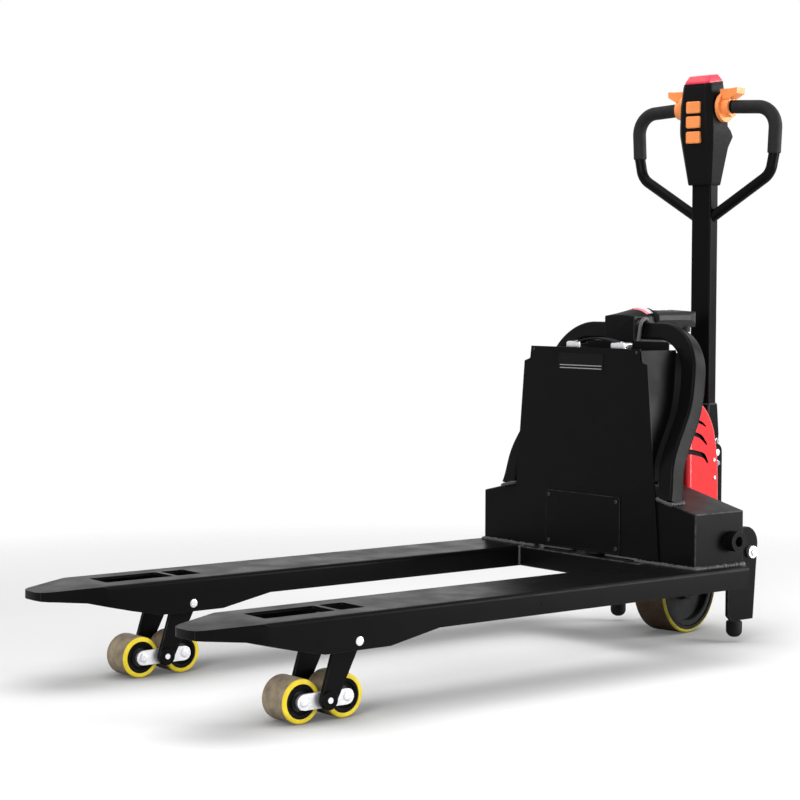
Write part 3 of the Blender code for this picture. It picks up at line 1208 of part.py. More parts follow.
def tiller(parent, paddles, buttons, belly):
    """Tiller tube with its root and both loops, the grips, the head and its controls."""
    shape = prism(ROOT_OUTLINE, "Y", -ROOT_HALF, ROOT_HALF)
    tube_low = (TUBE_X - TUBE_DEPTH / 2, -TUBE_HALF, TUBE_BOTTOM)
    tube_high = (TUBE_X + TUBE_DEPTH / 2, TUBE_HALF, HEAD_BOTTOM - GAP)
    shape = fused(shape, block(tube_low, tube_high))
    normal = Vector((1, 0, 0))
    loop_section = arc((0, 0), LOOP_RADIUS, 0, 330, 11)
    grip_section = arc((0, 0), GRIP_RADIUS, 0, 337.5, 15)
    for side, sign in SIDES.items():
        route = [Vector((TUBE_X, sign * point.x, point.y)) for point in bent(LOOP_ROUTE, LOOP_BEND, 6)]
        shape = fused(shape, swept(route, normal, loop_section))
        route = [Vector((TUBE_X, sign * point.x, point.y)) for point in bent(GRIP_ROUTE, GRIP_BEND, 8)]
        piece(f"grip_{side}", swept(route, normal, grip_section), "black_rubber", parent)
        paddle(side, paddles[side])
    tilt = (TILT_X, 0, TILT_Z)
    bore = rod(TILT_PIN_RADIUS + GAP, "Y", tilt, -2 * ROOT_HALF, 2 * ROOT_HALF, PIN_STEPS)
    piece("tiller_frame", carved(shape, bore), "black_paint", parent)

    rings = [head_ring(*ring) for ring in HEAD_RINGS] + [head_ring(*HEAD_TOP, HEAD_TOP_SLOPE)]
    stub = rod(GRIP_RADIUS, "Y", (TUBE_X, 0, GRIP_AXIS_Z), -STUB_END, STUB_END, PIN_STEPS)
    shape = fused(skin(rings), stub)
    for name, height in zip(("upper", "middle", "lower"), BUTTON_HEIGHTS):
        low = (-BUTTON_HALF, height - BUTTON_HALF_HEIGHT)
        high = (BUTTON_HALF, height + BUTTON_HALF_HEIGHT)
        spare = BUTTON_CLEARANCE
        pocket_low = (0.0, low[0] - spare, low[1] - spare)
        pocket_high = (BUTTON_X[1] + BUTTON_TRAVEL + spare, high[0] + spare, high[1] + spare)
        shape = carved(shape, block(pocket_low, pocket_high))
        button = prism(rounded(low, high, BUTTON_CORNER), "X", *BUTTON_X)
        piece(f"button_{name}", button, "orange_plastic", buttons[name])
    spare = BUTTON_CLEARANCE
    top = HEAD_TOP[0]
    floor = top - BELLY_PLUG_DEPTH
    well_low = (BELLY_PLUG_X[0] - spare, -BELLY_PLUG_HALF - spare, floor - BELLY_TRAVEL - spare)
    well_high = (BELLY_PLUG_X[1] + spare, BELLY_PLUG_HALF + spare, top + BELLY_PLUG_DEPTH)
    piece("head_housing", carved(shape, block(well_low, well_high)), "black_plastic", parent)
    lift = top + BELLY_TRAVEL + spare
    plug_low = (BELLY_PLUG_X[0], -BELLY_PLUG_HALF, floor)
    plug_high = (BELLY_PLUG_X[1], BELLY_PLUG_HALF, lift + BELLY_PLUG_DEPTH)
    cap = [head_ring(lift, BELLY_HALF, *BELLY_X, BELLY_CHAMFER, HEAD_TOP_SLOPE)]
    cap += [head_ring(lift + BELLY_CAP[0], BELLY_HALF, *BELLY_X, BELLY_CHAMFER, HEAD_TOP_SLOPE)]
    cap += [head_ring(lift + BELLY_CAP[1], BELLY_TOP_HALF, *BELLY_TOP_X, BELLY_CHAMFER, HEAD_TOP_SLOPE)]
    piece("belly_button", fused(skin(cap), block(plug_low, plug_high)), "red_plastic", belly)


def head_ring(height, half, front, rear, chamfer, slope=0.0):
    """Chamfered rectangle, level or rising to the rear from a height at the head's front, for a skin."""
    plan = [(front, half - chamfer), (front + chamfer, half), (rear - chamfer, half), (rear, half - chamfer)]
    return [(x, y, height + slope * (x - HEAD_TOP[2])) for x, y in mirrored(plan)]


def paddle(side, parent):
    """Thumb paddle: a disc and collar round the grip axis with a wing above the grip."""
    sign = SIDES[side]
    bore = GRIP_RADIUS + PADDLE_BORE_CLEARANCE
    centre = (TUBE_X, 0, GRIP_AXIS_Z)
    disc_start, disc_end = PADDLE_DISC_Y
    profile = (
        (bore, sign * disc_start),
        (PADDLE_DISC_RADIUS, sign * disc_start),
        (PADDLE_DISC_RADIUS, sign * disc_end),
        (PADDLE_COLLAR_RADIUS, sign * disc_end),
        (PADDLE_COLLAR_RADIUS, sign * PADDLE_COLLAR_END),
        (bore, sign * PADDLE_COLLAR_END),
    )
    shape = turned(profile, "Y", centre, ROUND_STEPS)
    start = disc_start + SHEET / 2
    root_low, root_high = (GRIP_AXIS_Z + z for z in PADDLE_WING_ROOT)
    end_low, end_high = (GRIP_AXIS_Z + z for z in PADDLE_WING_END)
    outline = [
        (sign * start, root_low),
        (sign * PADDLE_COLLAR_END, root_low),
        (sign * PADDLE_WING_Y, end_low),
        (sign * PADDLE_WING_Y, end_high),
        (sign * PADDLE_COLLAR_END, root_high),
        (sign * start, root_high),
    ]
    wing = prism(outline, "X", TUBE_X - PADDLE_WING_HALF, TUBE_X + PADDLE_WING_HALF)
    shape = carved(fused(shape, wing), rod(bore, "Y", centre, -FORK_Y, FORK_Y, ROUND_STEPS))
    piece(f"throttle_{side}", shape, "orange_plastic", parent)


def settle(root):
    """Moves the truck so that the middle of its box stands on the origin."""
    bpy.context.view_layer.update()
    graph = bpy.context.evaluated_depsgraph_get()
    points = []
    for shape in bpy.context.scene.objects:
        if shape.type == "EMPTY":
            continue
        mesh = shape.evaluated_get(graph).to_mesh()
        points += [shape.matrix_world @ vertex.co for vertex in mesh.vertices]
    low = [min(point[i] for point in points) for i in range(3)]
    high = [max(point[i] for point in points) for i in range(3)]
    root.location = (-(low[0] + high[0]) / 2, -(low[1] + high[1]) / 2, -low[2])


def main():
    for shape in list(bpy.data.objects):
        bpy.data.objects.remove(shape)
    make_materials()
    root = joint("chassis", None, (0, 0, 0))
    cross_member(root)
    front_panel(root)
    deck_plate(root)
    hoop(root)
    battery(root, joint("battery_lift_out", root, (0, 0, 0)))
    console(root, joint("key_turn", root, (KEY_X, KEY_Y, KEY_NECK_BOTTOM)))
    hydraulics(root, joint("lift_rod_slide", root, (CYLINDER_X, 0, LIFT_ROD_BOTTOM)))
    torsion_shaft(joint("torsion_turn", root, (SHAFT_X, 0, SHAFT_Z)))
    for side, sign in SIDES.items():
        fork(side, root)
        side_box(side, root)
        middle = sign * FORK_Y
        push_rod(side, joint(f"push_rod_slide_{side}", root, (CRANK_PIN[0], middle, CRANK_PIN[1])))
        arm_turn = joint(f"arm_turn_{side}", root, (ARM_PIN_X, middle, ARM_PIN_Z))
        bogie_turn = joint(f"bogie_turn_{side}", arm_turn, (BOGIE_X, middle, BOGIE_Z))
        spins = {}
        for place, step in (("front", -0.5), ("rear", 0.5)):
            axle = (BOGIE_X + step * LOAD_WHEEL_PITCH, middle, BOGIE_Z)
            spins[place] = joint(f"load_spin_{side}_{place}", bogie_turn, axle)
        load_arm(side, arm_turn, bogie_turn, spins)
    carriage_slide = joint("lift", root, (0, 0, 0))
    carriage(carriage_slide)
    steer = joint("steer", carriage_slide, (STEER_X, 0, 0), STEER_REST)
    drive_unit(steer, joint("drive_spin", steer, (0, 0, DRIVE_RADIUS)))
    tilt = joint("tiller_tilt", steer, (TILT_X, 0, TILT_Z))
    grip_axis = (TUBE_X, 0, GRIP_AXIS_Z)
    paddles = {side: joint(f"throttle_turn_{side}", tilt, grip_axis) for side in SIDES}
    buttons = {}
    for name, height in zip(("upper", "middle", "lower"), BUTTON_HEIGHTS):
        buttons[name] = joint(f"button_push_{name}", tilt, (BUTTON_X[0], 0, height))
    belly_x = (BELLY_X[0] + BELLY_X[1]) / 2
    belly = joint("belly_push", tilt, (belly_x, 0, HEAD_TOP[0]))
    tiller(tilt, paddles, buttons, belly)
    settle(root)


main()
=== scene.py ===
"""Finished look of an electric pallet truck on a pale studio floor."""

import json
import logging
import math
from collections.abc import Callable, Iterable, Sequence
from dataclasses import dataclass, field
from enum import Enum

import bmesh
import bpy
from mathutils import Matrix, Vector

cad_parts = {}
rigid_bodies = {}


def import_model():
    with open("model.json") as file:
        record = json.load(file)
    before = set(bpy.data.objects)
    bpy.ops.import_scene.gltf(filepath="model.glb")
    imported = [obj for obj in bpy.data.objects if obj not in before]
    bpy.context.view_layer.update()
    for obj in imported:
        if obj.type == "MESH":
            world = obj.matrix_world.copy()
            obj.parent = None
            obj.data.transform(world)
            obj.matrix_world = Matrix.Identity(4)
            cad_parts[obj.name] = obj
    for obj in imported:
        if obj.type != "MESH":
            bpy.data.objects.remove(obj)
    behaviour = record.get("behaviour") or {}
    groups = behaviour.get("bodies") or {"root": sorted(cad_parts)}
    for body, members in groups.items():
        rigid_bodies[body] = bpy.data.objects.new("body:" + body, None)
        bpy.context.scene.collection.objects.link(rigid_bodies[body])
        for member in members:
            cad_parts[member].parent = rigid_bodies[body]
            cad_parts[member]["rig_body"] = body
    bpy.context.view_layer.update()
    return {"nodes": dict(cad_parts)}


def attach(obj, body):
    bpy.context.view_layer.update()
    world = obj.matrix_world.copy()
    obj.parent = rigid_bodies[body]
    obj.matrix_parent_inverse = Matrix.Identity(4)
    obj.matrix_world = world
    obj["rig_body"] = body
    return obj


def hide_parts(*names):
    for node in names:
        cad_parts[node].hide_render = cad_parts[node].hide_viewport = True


LOG = logging.getLogger("pallet_truck")

Point = tuple[float, float, float]
Flat = tuple[float, float]

# Place of the drawing's origin on the frame, then of the steering axis on the drawing and its turn at rest.
SHIFT_X = 0.343713
STEER_X = 0.29
STEER_ANGLE = math.radians(9.0)
SIDES = {"left": -1, "right": 1}
# Shares by which the drops of a weld bead vary, and their spacing as a share of the radius.
BEAD_SMALLEST: Point = (0.8, 0.75, 0.75)
BEAD_LARGEST: Point = (1.25, 1.2, 1.2)
BEAD_PITCH = 0.9
# How far inside its rounded edge a tyre reaches its full radius.
TREAD_INSET = 0.001
# Corners nearer than this are one, and faces that differ by less than this angle are flat.
MERGE_DISTANCE = 0.000004
FLAT_ANGLE = math.radians(0.6)


class Axis(Enum):
    """Direction that a turned or drawn-out form follows."""

    X = "X"
    Y = "Y"
    Z = "Z"

    def place(self, u: float, v: float, along: float) -> Point:
        """Puts plane coordinates and a distance along the axis into space.

        Args:
            u: First coordinate across the axis.
            v: Second coordinate across the axis.
            along: Distance along the axis.

        Returns:
            The point in space.
        """
        return {"X": (along, u, v), "Y": (u, along, v), "Z": (u, v, along)}[self.value]


TRUCK = Matrix.Translation((SHIFT_X, 0.0, 0.0))
STEERED = Matrix.Translation((SHIFT_X + STEER_X, 0.0, 0.0)) @ Matrix.Rotation(STEER_ANGLE, 4, "Z")


def linear(hex_colour: str) -> tuple[float, float, float, float]:
    """Turns an sRGB hex colour into linear RGBA.

    Args:
        hex_colour: Colour such as "#c81e1e".

    Returns:
        Linear red, green, blue and an alpha of one.
    """
    values = [int(hex_colour[i : i + 2], 16) / 255 for i in (1, 3, 5)]
    channels = [v / 12.92 if v <= 0.04045 else ((v + 0.055) / 1.055) ** 2.4 for v in values]
    return (channels[0], channels[1], channels[2], 1.0)


def dimmed(hex_colour: str, shares: Point) -> tuple[float, float, float, float]:
    """Turns an sRGB hex colour into linear RGBA with less light.

    Args:
        hex_colour: Colour such as "#c81e1e".
        shares: Share of red, green and blue that is left.

    Returns:
        Linear red, green, blue and an alpha of one.
    """
    red, green, blue, alpha = linear(hex_colour)
    return (red * shares[0], green * shares[1], blue * shares[2], alpha)


class Graph:
    """Small helper that adds nodes to one material."""

    def __init__(self, name: str) -> None:
        """Starts an empty Principled material.

        Args:
            name: Name of the material.
        """
        self.material = bpy.data.materials.new(name)
        self.material.use_nodes = True
        self.tree = self.material.node_tree
        self.shader = self.tree.nodes["Principled BSDF"]
        self.output = self.tree.nodes["Material Output"]

    def add(self, kind: str, inputs: dict[str | int, object] | None = None,
            **settings: object) -> bpy.types.Node:
        """Adds one node and sets or links its inputs.

        Args:
            kind: Node type name.
            inputs: Socket name or index to a value or an output socket.
            settings: Properties of the node itself.

        Returns:
            The new node.
        """
        node = self.tree.nodes.new(kind)
        for key, value in settings.items():
            setattr(node, key, value)
        for key, value in (inputs or {}).items():
            self.feed(node.inputs[key], value)
        return node

    def feed(self, socket: bpy.types.NodeSocket, value: object) -> None:
        """Links an output to a socket, or sets the socket's value.

        Args:
            socket: Socket to fill.
            value: Output socket or plain value.
        """
        if isinstance(value, bpy.types.NodeSocket):
            self.tree.links.new(value, socket)
        else:
            socket.default_value = value

    def noise(self, pattern_mm: float, detail: float = 3.0,
              stretch: Point = (1.0, 1.0, 1.0)) -> bpy.types.NodeSocket:
        """Adds noise whose features have a real size.

        Args:
            pattern_mm: Size of one feature in millimetres.
            detail: Number of finer layers.
            stretch: How much the pattern is packed along each axis.

        Returns:
            The noise value.
        """
        place = self.add("ShaderNodeTexCoord").outputs["Object"]
        if stretch != (1.0, 1.0, 1.0):
            place = self.add("ShaderNodeMapping", {"Vector": place, "Scale": stretch}).outputs["Vector"]
        inputs = {"Vector": place, "Scale": 1000.0 / pattern_mm, "Detail": detail}
        return self.add("ShaderNodeTexNoise", inputs).outputs["Fac"]

    def span(self, value: bpy.types.NodeSocket, low: float, high: float, start: float = 0.3,
             end: float = 0.7) -> bpy.types.NodeSocket:
        """Maps a value to a range.

        Args:
            value: Value to map.
            low: Result at the start.
            high: Result at the end.
            start: Value that gives the low result.
            end: Value that gives the high result.

        Returns:
            The mapped value.
        """
        inputs = {"Value": value, "From Min": start, "From Max": end, "To Min": low, "To Max": high}
        return self.add("ShaderNodeMapRange", inputs).outputs["Result"]

    def mix(self, share: object, first: object, second: object) -> bpy.types.NodeSocket:
        """Blends two colours.

        Args:
            share: Share of the second colour.
            first: First colour.
            second: Second colour.

        Returns:
            The blended colour.
        """
        # The colour sockets of this node share their names with others, so they go by number.
        node = self.add("ShaderNodeMix", data_type="RGBA")
        self.feed(node.inputs[0], share)
        self.feed(node.inputs[6], first)
        self.feed(node.inputs[7], second)
        return node.outputs[2]

    def bump(self, height: bpy.types.NodeSocket, depth_mm: float, strength: float = 0.5) -> None:
        """Gives the surface a relief.

        Args:
            height: Relief from zero to one.
            depth_mm: Depth of the relief in millimetres.
            strength: How strongly it shows.
        """
        inputs = {"Height": height, "Distance": depth_mm / 1000.0, "Strength": strength}
        node = self.add("ShaderNodeBump", inputs)
        self.feed(self.shader.inputs["Normal"], node.outputs["Normal"])

    def set(self, **values: object) -> None:
        """Sets or links inputs of the shader.

        Args:
            values: Socket name with underscores for spaces to a value or an output.
        """
        for key, value in values.items():
            self.feed(self.shader.inputs[key.replace("_", " ")], value)


@dataclass(frozen=True)
class SatinPaint:
    """Powder coat baked on steel: a soft sheen, faint orange peel, and a painted highlight in patches on the
    rounded edges.
    """

    name: str = "satin_black_powder_coat"
    colour: str = "#0d0d0e"
    # Colour of the painted highlight on the rounded edges.
    painted_edge_highlight: str = "#4a4a4b"
    peel_mm: float = 1.1
    cloud_mm: float = 60.0
    roughness: float = 0.32
    specular: float = 0.045
    highlight_patch_mm: float = 14.0
    deep: Point = (0.75, 0.75, 0.75)

    def make(self) -> bpy.types.Material:
        """Builds the material.

        Returns:
            The material.
        """
        graph = Graph(self.name)
        cloud = graph.noise(self.cloud_mm)
        # Painted highlight: the rounded edges lighten towards this colour in patches broken up by noise.
        edge = graph.add("ShaderNodeAttribute", attribute_name="edge").outputs["Fac"]
        patchy = graph.span(graph.noise(self.highlight_patch_mm), low=0.15, high=1.0)
        painted_highlight_share = graph.add("ShaderNodeMath", {0: edge, 1: patchy}, operation="MULTIPLY")
        deeper = dimmed(self.colour, self.deep)
        base = graph.mix(graph.span(cloud, 0.0, 1.0), linear(self.colour), deeper)
        graph.set(Base_Color=graph.mix(painted_highlight_share.outputs[0], base, linear(self.painted_edge_highlight)))
        graph.set(Roughness=graph.span(cloud, self.roughness - 0.05, self.roughness + 0.08))
        graph.set(Specular_IOR_Level=self.specular)
        graph.bump(graph.noise(self.peel_mm, detail=1.0), depth_mm=0.02, strength=0.25)
        return graph.material


@dataclass(frozen=True)
class GrainedPlastic:
    """Moulded plastic: an even colour broken by a fine spark-eroded grain."""

    name: str = "grained_black_plastic"
    colour: str = "#0a0a0b"
    roughness: float = 0.5
    # Such grain is usually near 0.1 mm, too fine to show in the render, so it is drawn coarser.
    grain_mm: float = 0.7
    depth_mm: float = 0.03
    specular: float = 0.07
    cloud_mm: float = 35.0
    sheen_mm: float = 9.0
    deep: Point = (0.86, 0.86, 0.86)

    def make(self) -> bpy.types.Material:
        """Builds the material.

        Returns:
            The material.
        """
        graph = Graph(self.name)
        cloud = graph.span(graph.noise(self.cloud_mm), 0.0, 1.0)
        graph.set(Base_Color=graph.mix(cloud, linear(self.colour), dimmed(self.colour, self.deep)))
        sheen = graph.noise(self.sheen_mm)
        graph.set(Roughness=graph.span(sheen, self.roughness - 0.05, self.roughness + 0.06))
        graph.set(Specular_IOR_Level=self.specular)
        graph.bump(graph.noise(self.grain_mm, detail=2.0), self.depth_mm, strength=0.35)
        return graph.material


@dataclass(frozen=True)
class PlatedSteel:
    """Plated or ground steel: bright metal with drawn scratches and a cloudy roughness."""

    name: str = "zinc_plated_steel"
    colour: str = "#e6e6e8"
    roughness: float = 0.34
    scratch: Point = (1.0, 12.0, 1.0)
    metallic: float = 0.85
    # Such scratches are usually under 0.1 mm, too fine to show in the render, so they are drawn wider.
    scratch_mm: float = 1.6
    dull_mm: float = 8.0
    dull: Point = (0.78, 0.78, 0.8)

    def make(self) -> bpy.types.Material:
        """Builds the material.

        Returns:
            The material.
        """
        graph = Graph(self.name)
        scratch = graph.noise(self.scratch_mm, detail=2.0, stretch=self.scratch)
        cloud = graph.span(graph.noise(self.dull_mm), low=0.0, high=0.7)
        graph.set(Base_Color=graph.mix(cloud, linear(self.colour), dimmed(self.colour, self.dull)))
        graph.set(Metallic=self.metallic)
        graph.set(Roughness=graph.span(scratch, self.roughness - 0.08, self.roughness + 0.1))
        graph.bump(scratch, depth_mm=0.01, strength=0.2)
        return graph.material


@dataclass(frozen=True)
class Polyurethane:
    """Cast polyurethane: slightly waxy, clouded, and greyed by floor dust where it rolls."""

    name: str = "dusty_polyurethane_tread"
    colour: str = "#9a8a70"
    dust: str = "#6f6456"
    cloud_mm: float = 18.0
    roughness: float = 0.48
    sheen_mm: float = 5.0
    scuff_mm: float = 2.2

    def make(self) -> bpy.types.Material:
        """Builds the material.

        Returns:
            The material.
        """
        graph = Graph(self.name)
        cloud = graph.span(graph.noise(self.cloud_mm, detail=4.0), 0.0, 1.0)
        graph.set(Base_Color=graph.mix(cloud, linear(self.colour), linear(self.dust)))
        sheen = graph.noise(self.sheen_mm)
        graph.set(Roughness=graph.span(sheen, self.roughness - 0.06, self.roughness + 0.1))
        graph.set(Specular_IOR_Level=0.3)
        graph.bump(graph.noise(self.scuff_mm, detail=2.0), depth_mm=0.05, strength=0.3)
        return graph.material


class Palette:
    """Every finish on the truck, made once."""

    def __init__(self) -> None:
        """Makes the materials."""
        finishes = {
            # Powder coat: deep black with a soft sheen, and a painted highlight along its rounded edges.
            "paint": SatinPaint(),
            # Moulded ABS: flat black that hardly mirrors.
            "plastic": GrainedPlastic(),
            # Lighter ABS: dark grey that parts the visor from the housing; on the housing's side faces the
            # same grey is a painted highlight.
            "visor": GrainedPlastic(
                "grey_visor_plastic", "#2a2a2b", roughness=0.4, grain_mm=0.8, depth_mm=0.02, specular=0.12
            ),
            # Moulded case: dull dark grey under the hoop.
            "battery": GrainedPlastic(
                "ribbed_battery_case", "#202021", roughness=0.55, grain_mm=0.9, depth_mm=0.04
            ),
            # Foam sleeve: matt and dark, without a highlight.
            "grip": GrainedPlastic(
                "soft_foam_grip", "#1f1f20", roughness=0.66, grain_mm=0.9, depth_mm=0.05, specular=0.15
            ),
            # Moulded rubber: matt black with a dusty look.
            "rubber": GrainedPlastic(
                "black_rubber", "#151515", roughness=0.7, grain_mm=1.2, depth_mm=0.04, specular=0.15
            ),
            # PVC sheath: mid grey with a thin highlight.
            "cable": GrainedPlastic(
                "grey_cable_sheath", "#58585a", roughness=0.5, grain_mm=1.2, depth_mm=0.03, specular=0.3
            ),
            # Woven webbing: dull black with a coarse relief.
            "strap": GrainedPlastic(
                "woven_strap", "#141415", roughness=0.75, grain_mm=0.8, depth_mm=0.08, specular=0.15
            ),
            # Painted bead: greyer than the coat, a painted highlight for the light each drop catches.
            "weld": SatinPaint(
                "painted_weld_bead", "#4a4a4b", "#6a6a6b",
                peel_mm=0.8, cloud_mm=12.0, roughness=0.34, specular=0.2,
            ),
            # Glossy ABS: clear red with broad, sharp highlights.
            "red": GrainedPlastic(
                "red_hood_plastic", "#dc2026", roughness=0.2, grain_mm=4.0, depth_mm=0.004, specular=0.3
            ),
            # Moulded plastic: pinkish red with a soft highlight.
            "belly": GrainedPlastic(
                "red_button_plastic", "#e5354d", roughness=0.36, grain_mm=0.9, depth_mm=0.01, specular=0.4
            ),
            # Moulded plastic: pale, warm orange.
            "orange": GrainedPlastic(
                "orange_control_plastic", "#ff9a55",
                roughness=0.42, grain_mm=0.6, depth_mm=0.015, specular=0.35,
            ),
            # Zinc plate: bright and slightly cloudy.
            "zinc": PlatedSteel(),
            # Ground steel: grey with fine parallel lines.
            "steel": PlatedSteel(
                "ground_steel", "#9d9ea1", roughness=0.3, scratch=(1.0, 14.0, 1.0), metallic=1.0
            ),
            # Bright spring steel: mirrors the lamps in streaks.
            "chrome": PlatedSteel(
                "bright_clip_steel", "#d9dadc", roughness=0.2, scratch=(10.0, 1.0, 1.0), metallic=1.0
            ),
            # Blackened steel: dark metal with a dull shine.
            "dark_steel": PlatedSteel(
                "blackened_steel", "#3c3c3e", roughness=0.46, scratch=(6.0, 6.0, 1.0), metallic=0.7
            ),
            # Cast aluminium: pale, grainy metal.
            "cast": PlatedSteel(
                "cast_aluminium", "#a4a5a8", roughness=0.5, scratch=(3.0, 3.0, 3.0), metallic=0.9
            ),
            # Cast polyurethane: tan, greyed by the floor.
            "load_tread": Polyurethane(),
            # Clean polyurethane: bright yellow where nothing rolls.
            "load_edge": Polyurethane(
                "yellow_polyurethane_edge", "#f0d82f", "#d9bf25", cloud_mm=22.0, roughness=0.4
            ),
            # Cast polyurethane: brown, darkened where it rolls.
            "drive_tread": Polyurethane(
                "brown_drive_tread", "#4a3726", "#32241a", cloud_mm=25.0, roughness=0.5
            ),
            # Clean polyurethane: olive rim beside the tread.
            "drive_edge": Polyurethane(
                "olive_drive_edge", "#b3a62c", "#8e8422", cloud_mm=25.0, roughness=0.42
            ),
            # Blank plate: black with a faint gloss.
            "badge": GrainedPlastic(
                "blank_badge_plate", "#0b0b0c", roughness=0.34, grain_mm=1.5, depth_mm=0.005, specular=0.08
            ),
            # Blank vinyl: off-white and even.
            "sticker": GrainedPlastic(
                "blank_white_sticker", "#eceaea", roughness=0.5, grain_mm=2.0, depth_mm=0.004, specular=0.3
            ),
            # Blank vinyl: pink stripe.
            "band": GrainedPlastic(
                "blank_pink_band", "#f08c9c", roughness=0.5, grain_mm=2.0, depth_mm=0.004, specular=0.3
            ),
        }
        self.made = {key: finish.make() for key, finish in finishes.items()}

    def __getitem__(self, key: str) -> bpy.types.Material:
        """Looks a material up.

        Args:
            key: Short name of the finish.

        Returns:
            The material.
        """
        return self.made[key]


def arc(centre: Flat, radius: float, start: float, end: float, steps: int) -> list[Flat]:
    """Points on an arc.

    Args:
        centre: Middle of the arc.
        radius: Radius in metres.
        start: First angle in degrees.
        end: Last angle in degrees.
        steps: Number of steps between the two.

    Returns:
        The points in order.
    """
    angles = [math.radians(start + (end - start) * i / steps) for i in range(steps + 1)]
    return [(centre[0] + radius * math.cos(a), centre[1] + radius * math.sin(a)) for a in angles]


def round_section(radius: float, steps: int) -> list[Flat]:
    """Points on a whole circle.

    Args:
        radius: Radius in metres.
        steps: Number of points.

    Returns:
        The points in order.
    """
    return arc((0, 0), radius, 0, 360 - 360 / steps, steps - 1)


def rounded(low: Flat, high: Flat, radius: float, steps: int = 6) -> list[Flat]:
    """Rectangle outline with rounded corners.

    Args:
        low: Lower corner.
        high: Upper corner.
        radius: Corner radius.
        steps: Steps in each corner.

    Returns:
        The outline.
    """
    corners = (
        (high[0] - radius, high[1] - radius),
        (low[0] + radius, high[1] - radius),
        (low[0] + radius, low[1] + radius),
        (high[0] - radius, low[1] + radius),
    )
    return [p for i, corner in enumerate(corners) for p in arc(corner, radius, 90 * i, 90 * i + 90, steps)]


def skin(rings: Sequence[Sequence[Sequence[float]]]) -> bmesh.types.BMesh:
    """Closed form through rings of points, flat at both ends.

    Args:
        rings: Rings with the same number of points.

    Returns:
        The form.
    """
    bm = bmesh.new()
    loops = [[bm.verts.new(point) for point in ring] for ring in rings]
    bm.faces.new(loops[0])
    bm.faces.new(loops[-1])
    count = len(loops[0])
    for low, high in zip(loops, loops[1:]):
        for i in range(count):
            j = (i + 1) % count
            bm.faces.new((low[i], low[j], high[j], high[i]))
    bmesh.ops.recalc_face_normals(bm, faces=bm.faces)
    return bm


def prism(outline: Sequence[Flat], axis: Axis, low: float, high: float) -> bmesh.types.BMesh:
    """Outline carried along an axis.

    Args:
        outline: Points across the axis.
        axis: Axis to follow.
        low: Start along the axis.
        high: End along the axis.

    Returns:
        The form.
    """
    return skin([[axis.place(u, v, along) for u, v in outline] for along in (low, high)])


def pillow(low: Flat, high: Flat, corner: float, axis: Axis, base: float, top: float,
           edge: float) -> bmesh.types.BMesh:
    """Rounded block whose top edge rolls over.

    Args:
        low: Lower corner of the outline.
        high: Upper corner of the outline.
        corner: Corner radius of the outline.
        axis: Axis that the block stands on.
        base: Start along the axis.
        top: End along the axis.
        edge: Radius of the rolled edge.

    Returns:
        The form.
    """
    sign = math.copysign(1.0, top - base)
    rings = [[axis.place(u, v, base) for u, v in rounded(low, high, corner)]]
    for i in range(7):
        angle = math.radians(15 * i)
        inset = edge * (1 - math.cos(angle))
        along = top - sign * edge * (1 - math.sin(angle))
        inner_low = (low[0] + inset, low[1] + inset)
        inner_high = (high[0] - inset, high[1] - inset)
        outline = rounded(inner_low, inner_high, max(corner - inset, edge / 4))
        rings.append([axis.place(u, v, along) for u, v in outline])
    return skin(rings)


def turned(profile: Sequence[Flat], axis: Axis, centre: Point, steps: int = 72) -> bmesh.types.BMesh:
    """Profile turned about an axis.

    Args:
        profile: Radius and place along the axis; one that starts off the axis is closed up.
        axis: Axis to turn about.
        centre: Point on the axis that places are measured from.
        steps: Steps in one turn.

    Returns:
        The form.
    """
    bm = bmesh.new()
    rings = []
    for radius, along in profile:
        ring = []
        for i in range(steps if radius > 0 else 1):
            angle = 2 * math.pi * i / steps
            offset = axis.place(radius * math.cos(angle), radius * math.sin(angle), along)
            ring.append(bm.verts.new(Vector(centre) + Vector(offset)))
        rings.append(ring)
    pairs = list(zip(rings, rings[1:]))
    if profile[0][0] > 0:
        pairs.append((rings[-1], rings[0]))
    for low, high in pairs:
        for i in range(steps):
            j = (i + 1) % steps
            corners = (low[i % len(low)], low[j % len(low)], high[j % len(high)], high[i % len(high)])
            bm.faces.new(list(dict.fromkeys(corners)))
    bmesh.ops.recalc_face_normals(bm, faces=bm.faces)
    return bm


def mirrored(profile: Sequence[Flat]) -> list[Flat]:
    """Profile followed by its mirror image along the axis.

    Args:
        profile: Radius and place along the axis.

    Returns:
        The whole profile.
    """
    return [*profile, *[(u, -v) for u, v in reversed(profile)]]


def tyre_outline(radius: float, half: float, inner: float, edge: float) -> list[Flat]:
    """Outline of a tyre with rounded edges.

    Args:
        radius: Outer radius.
        half: Half of the width.
        inner: Radius of the bore.
        edge: Radius of the rounded edges.

    Returns:
        Radius and place along the axle of each corner.
    """
    flank = [(inner, half), (radius - edge, half)]
    flank += arc((radius - edge, half - edge), edge, 75, 15, 4)
    return mirrored([*flank, (radius, half - edge - TREAD_INSET)])


def bent(first: Flat, corner: Flat, last: Flat, radius: float, steps: int) -> list[Vector]:
    """Two straight runs whose corner is rounded off.

    Args:
        first: Start of the first run.
        corner: Where the runs would meet.
        last: End of the second run.
        radius: Bend radius.
        steps: Steps in the bend.

    Returns:
        The points in order.
    """
    a, b, c = Vector(first), Vector(corner), Vector(last)
    into, out = (a - b).normalized(), (c - b).normalized()
    half = into.angle(out) / 2
    centre = b + (into + out).normalized() * (radius / math.sin(half))
    start = b + into * (radius / math.tan(half)) - centre
    end = b + out * (radius / math.tan(half)) - centre
    total = math.atan2(start.cross(end), start.dot(end))
    bend = []
    for i in range(steps + 1):
        spin = Matrix.Rotation(total * i / steps, 2)
        bend.append(centre + spin @ start)
    return [a, *bend, c]


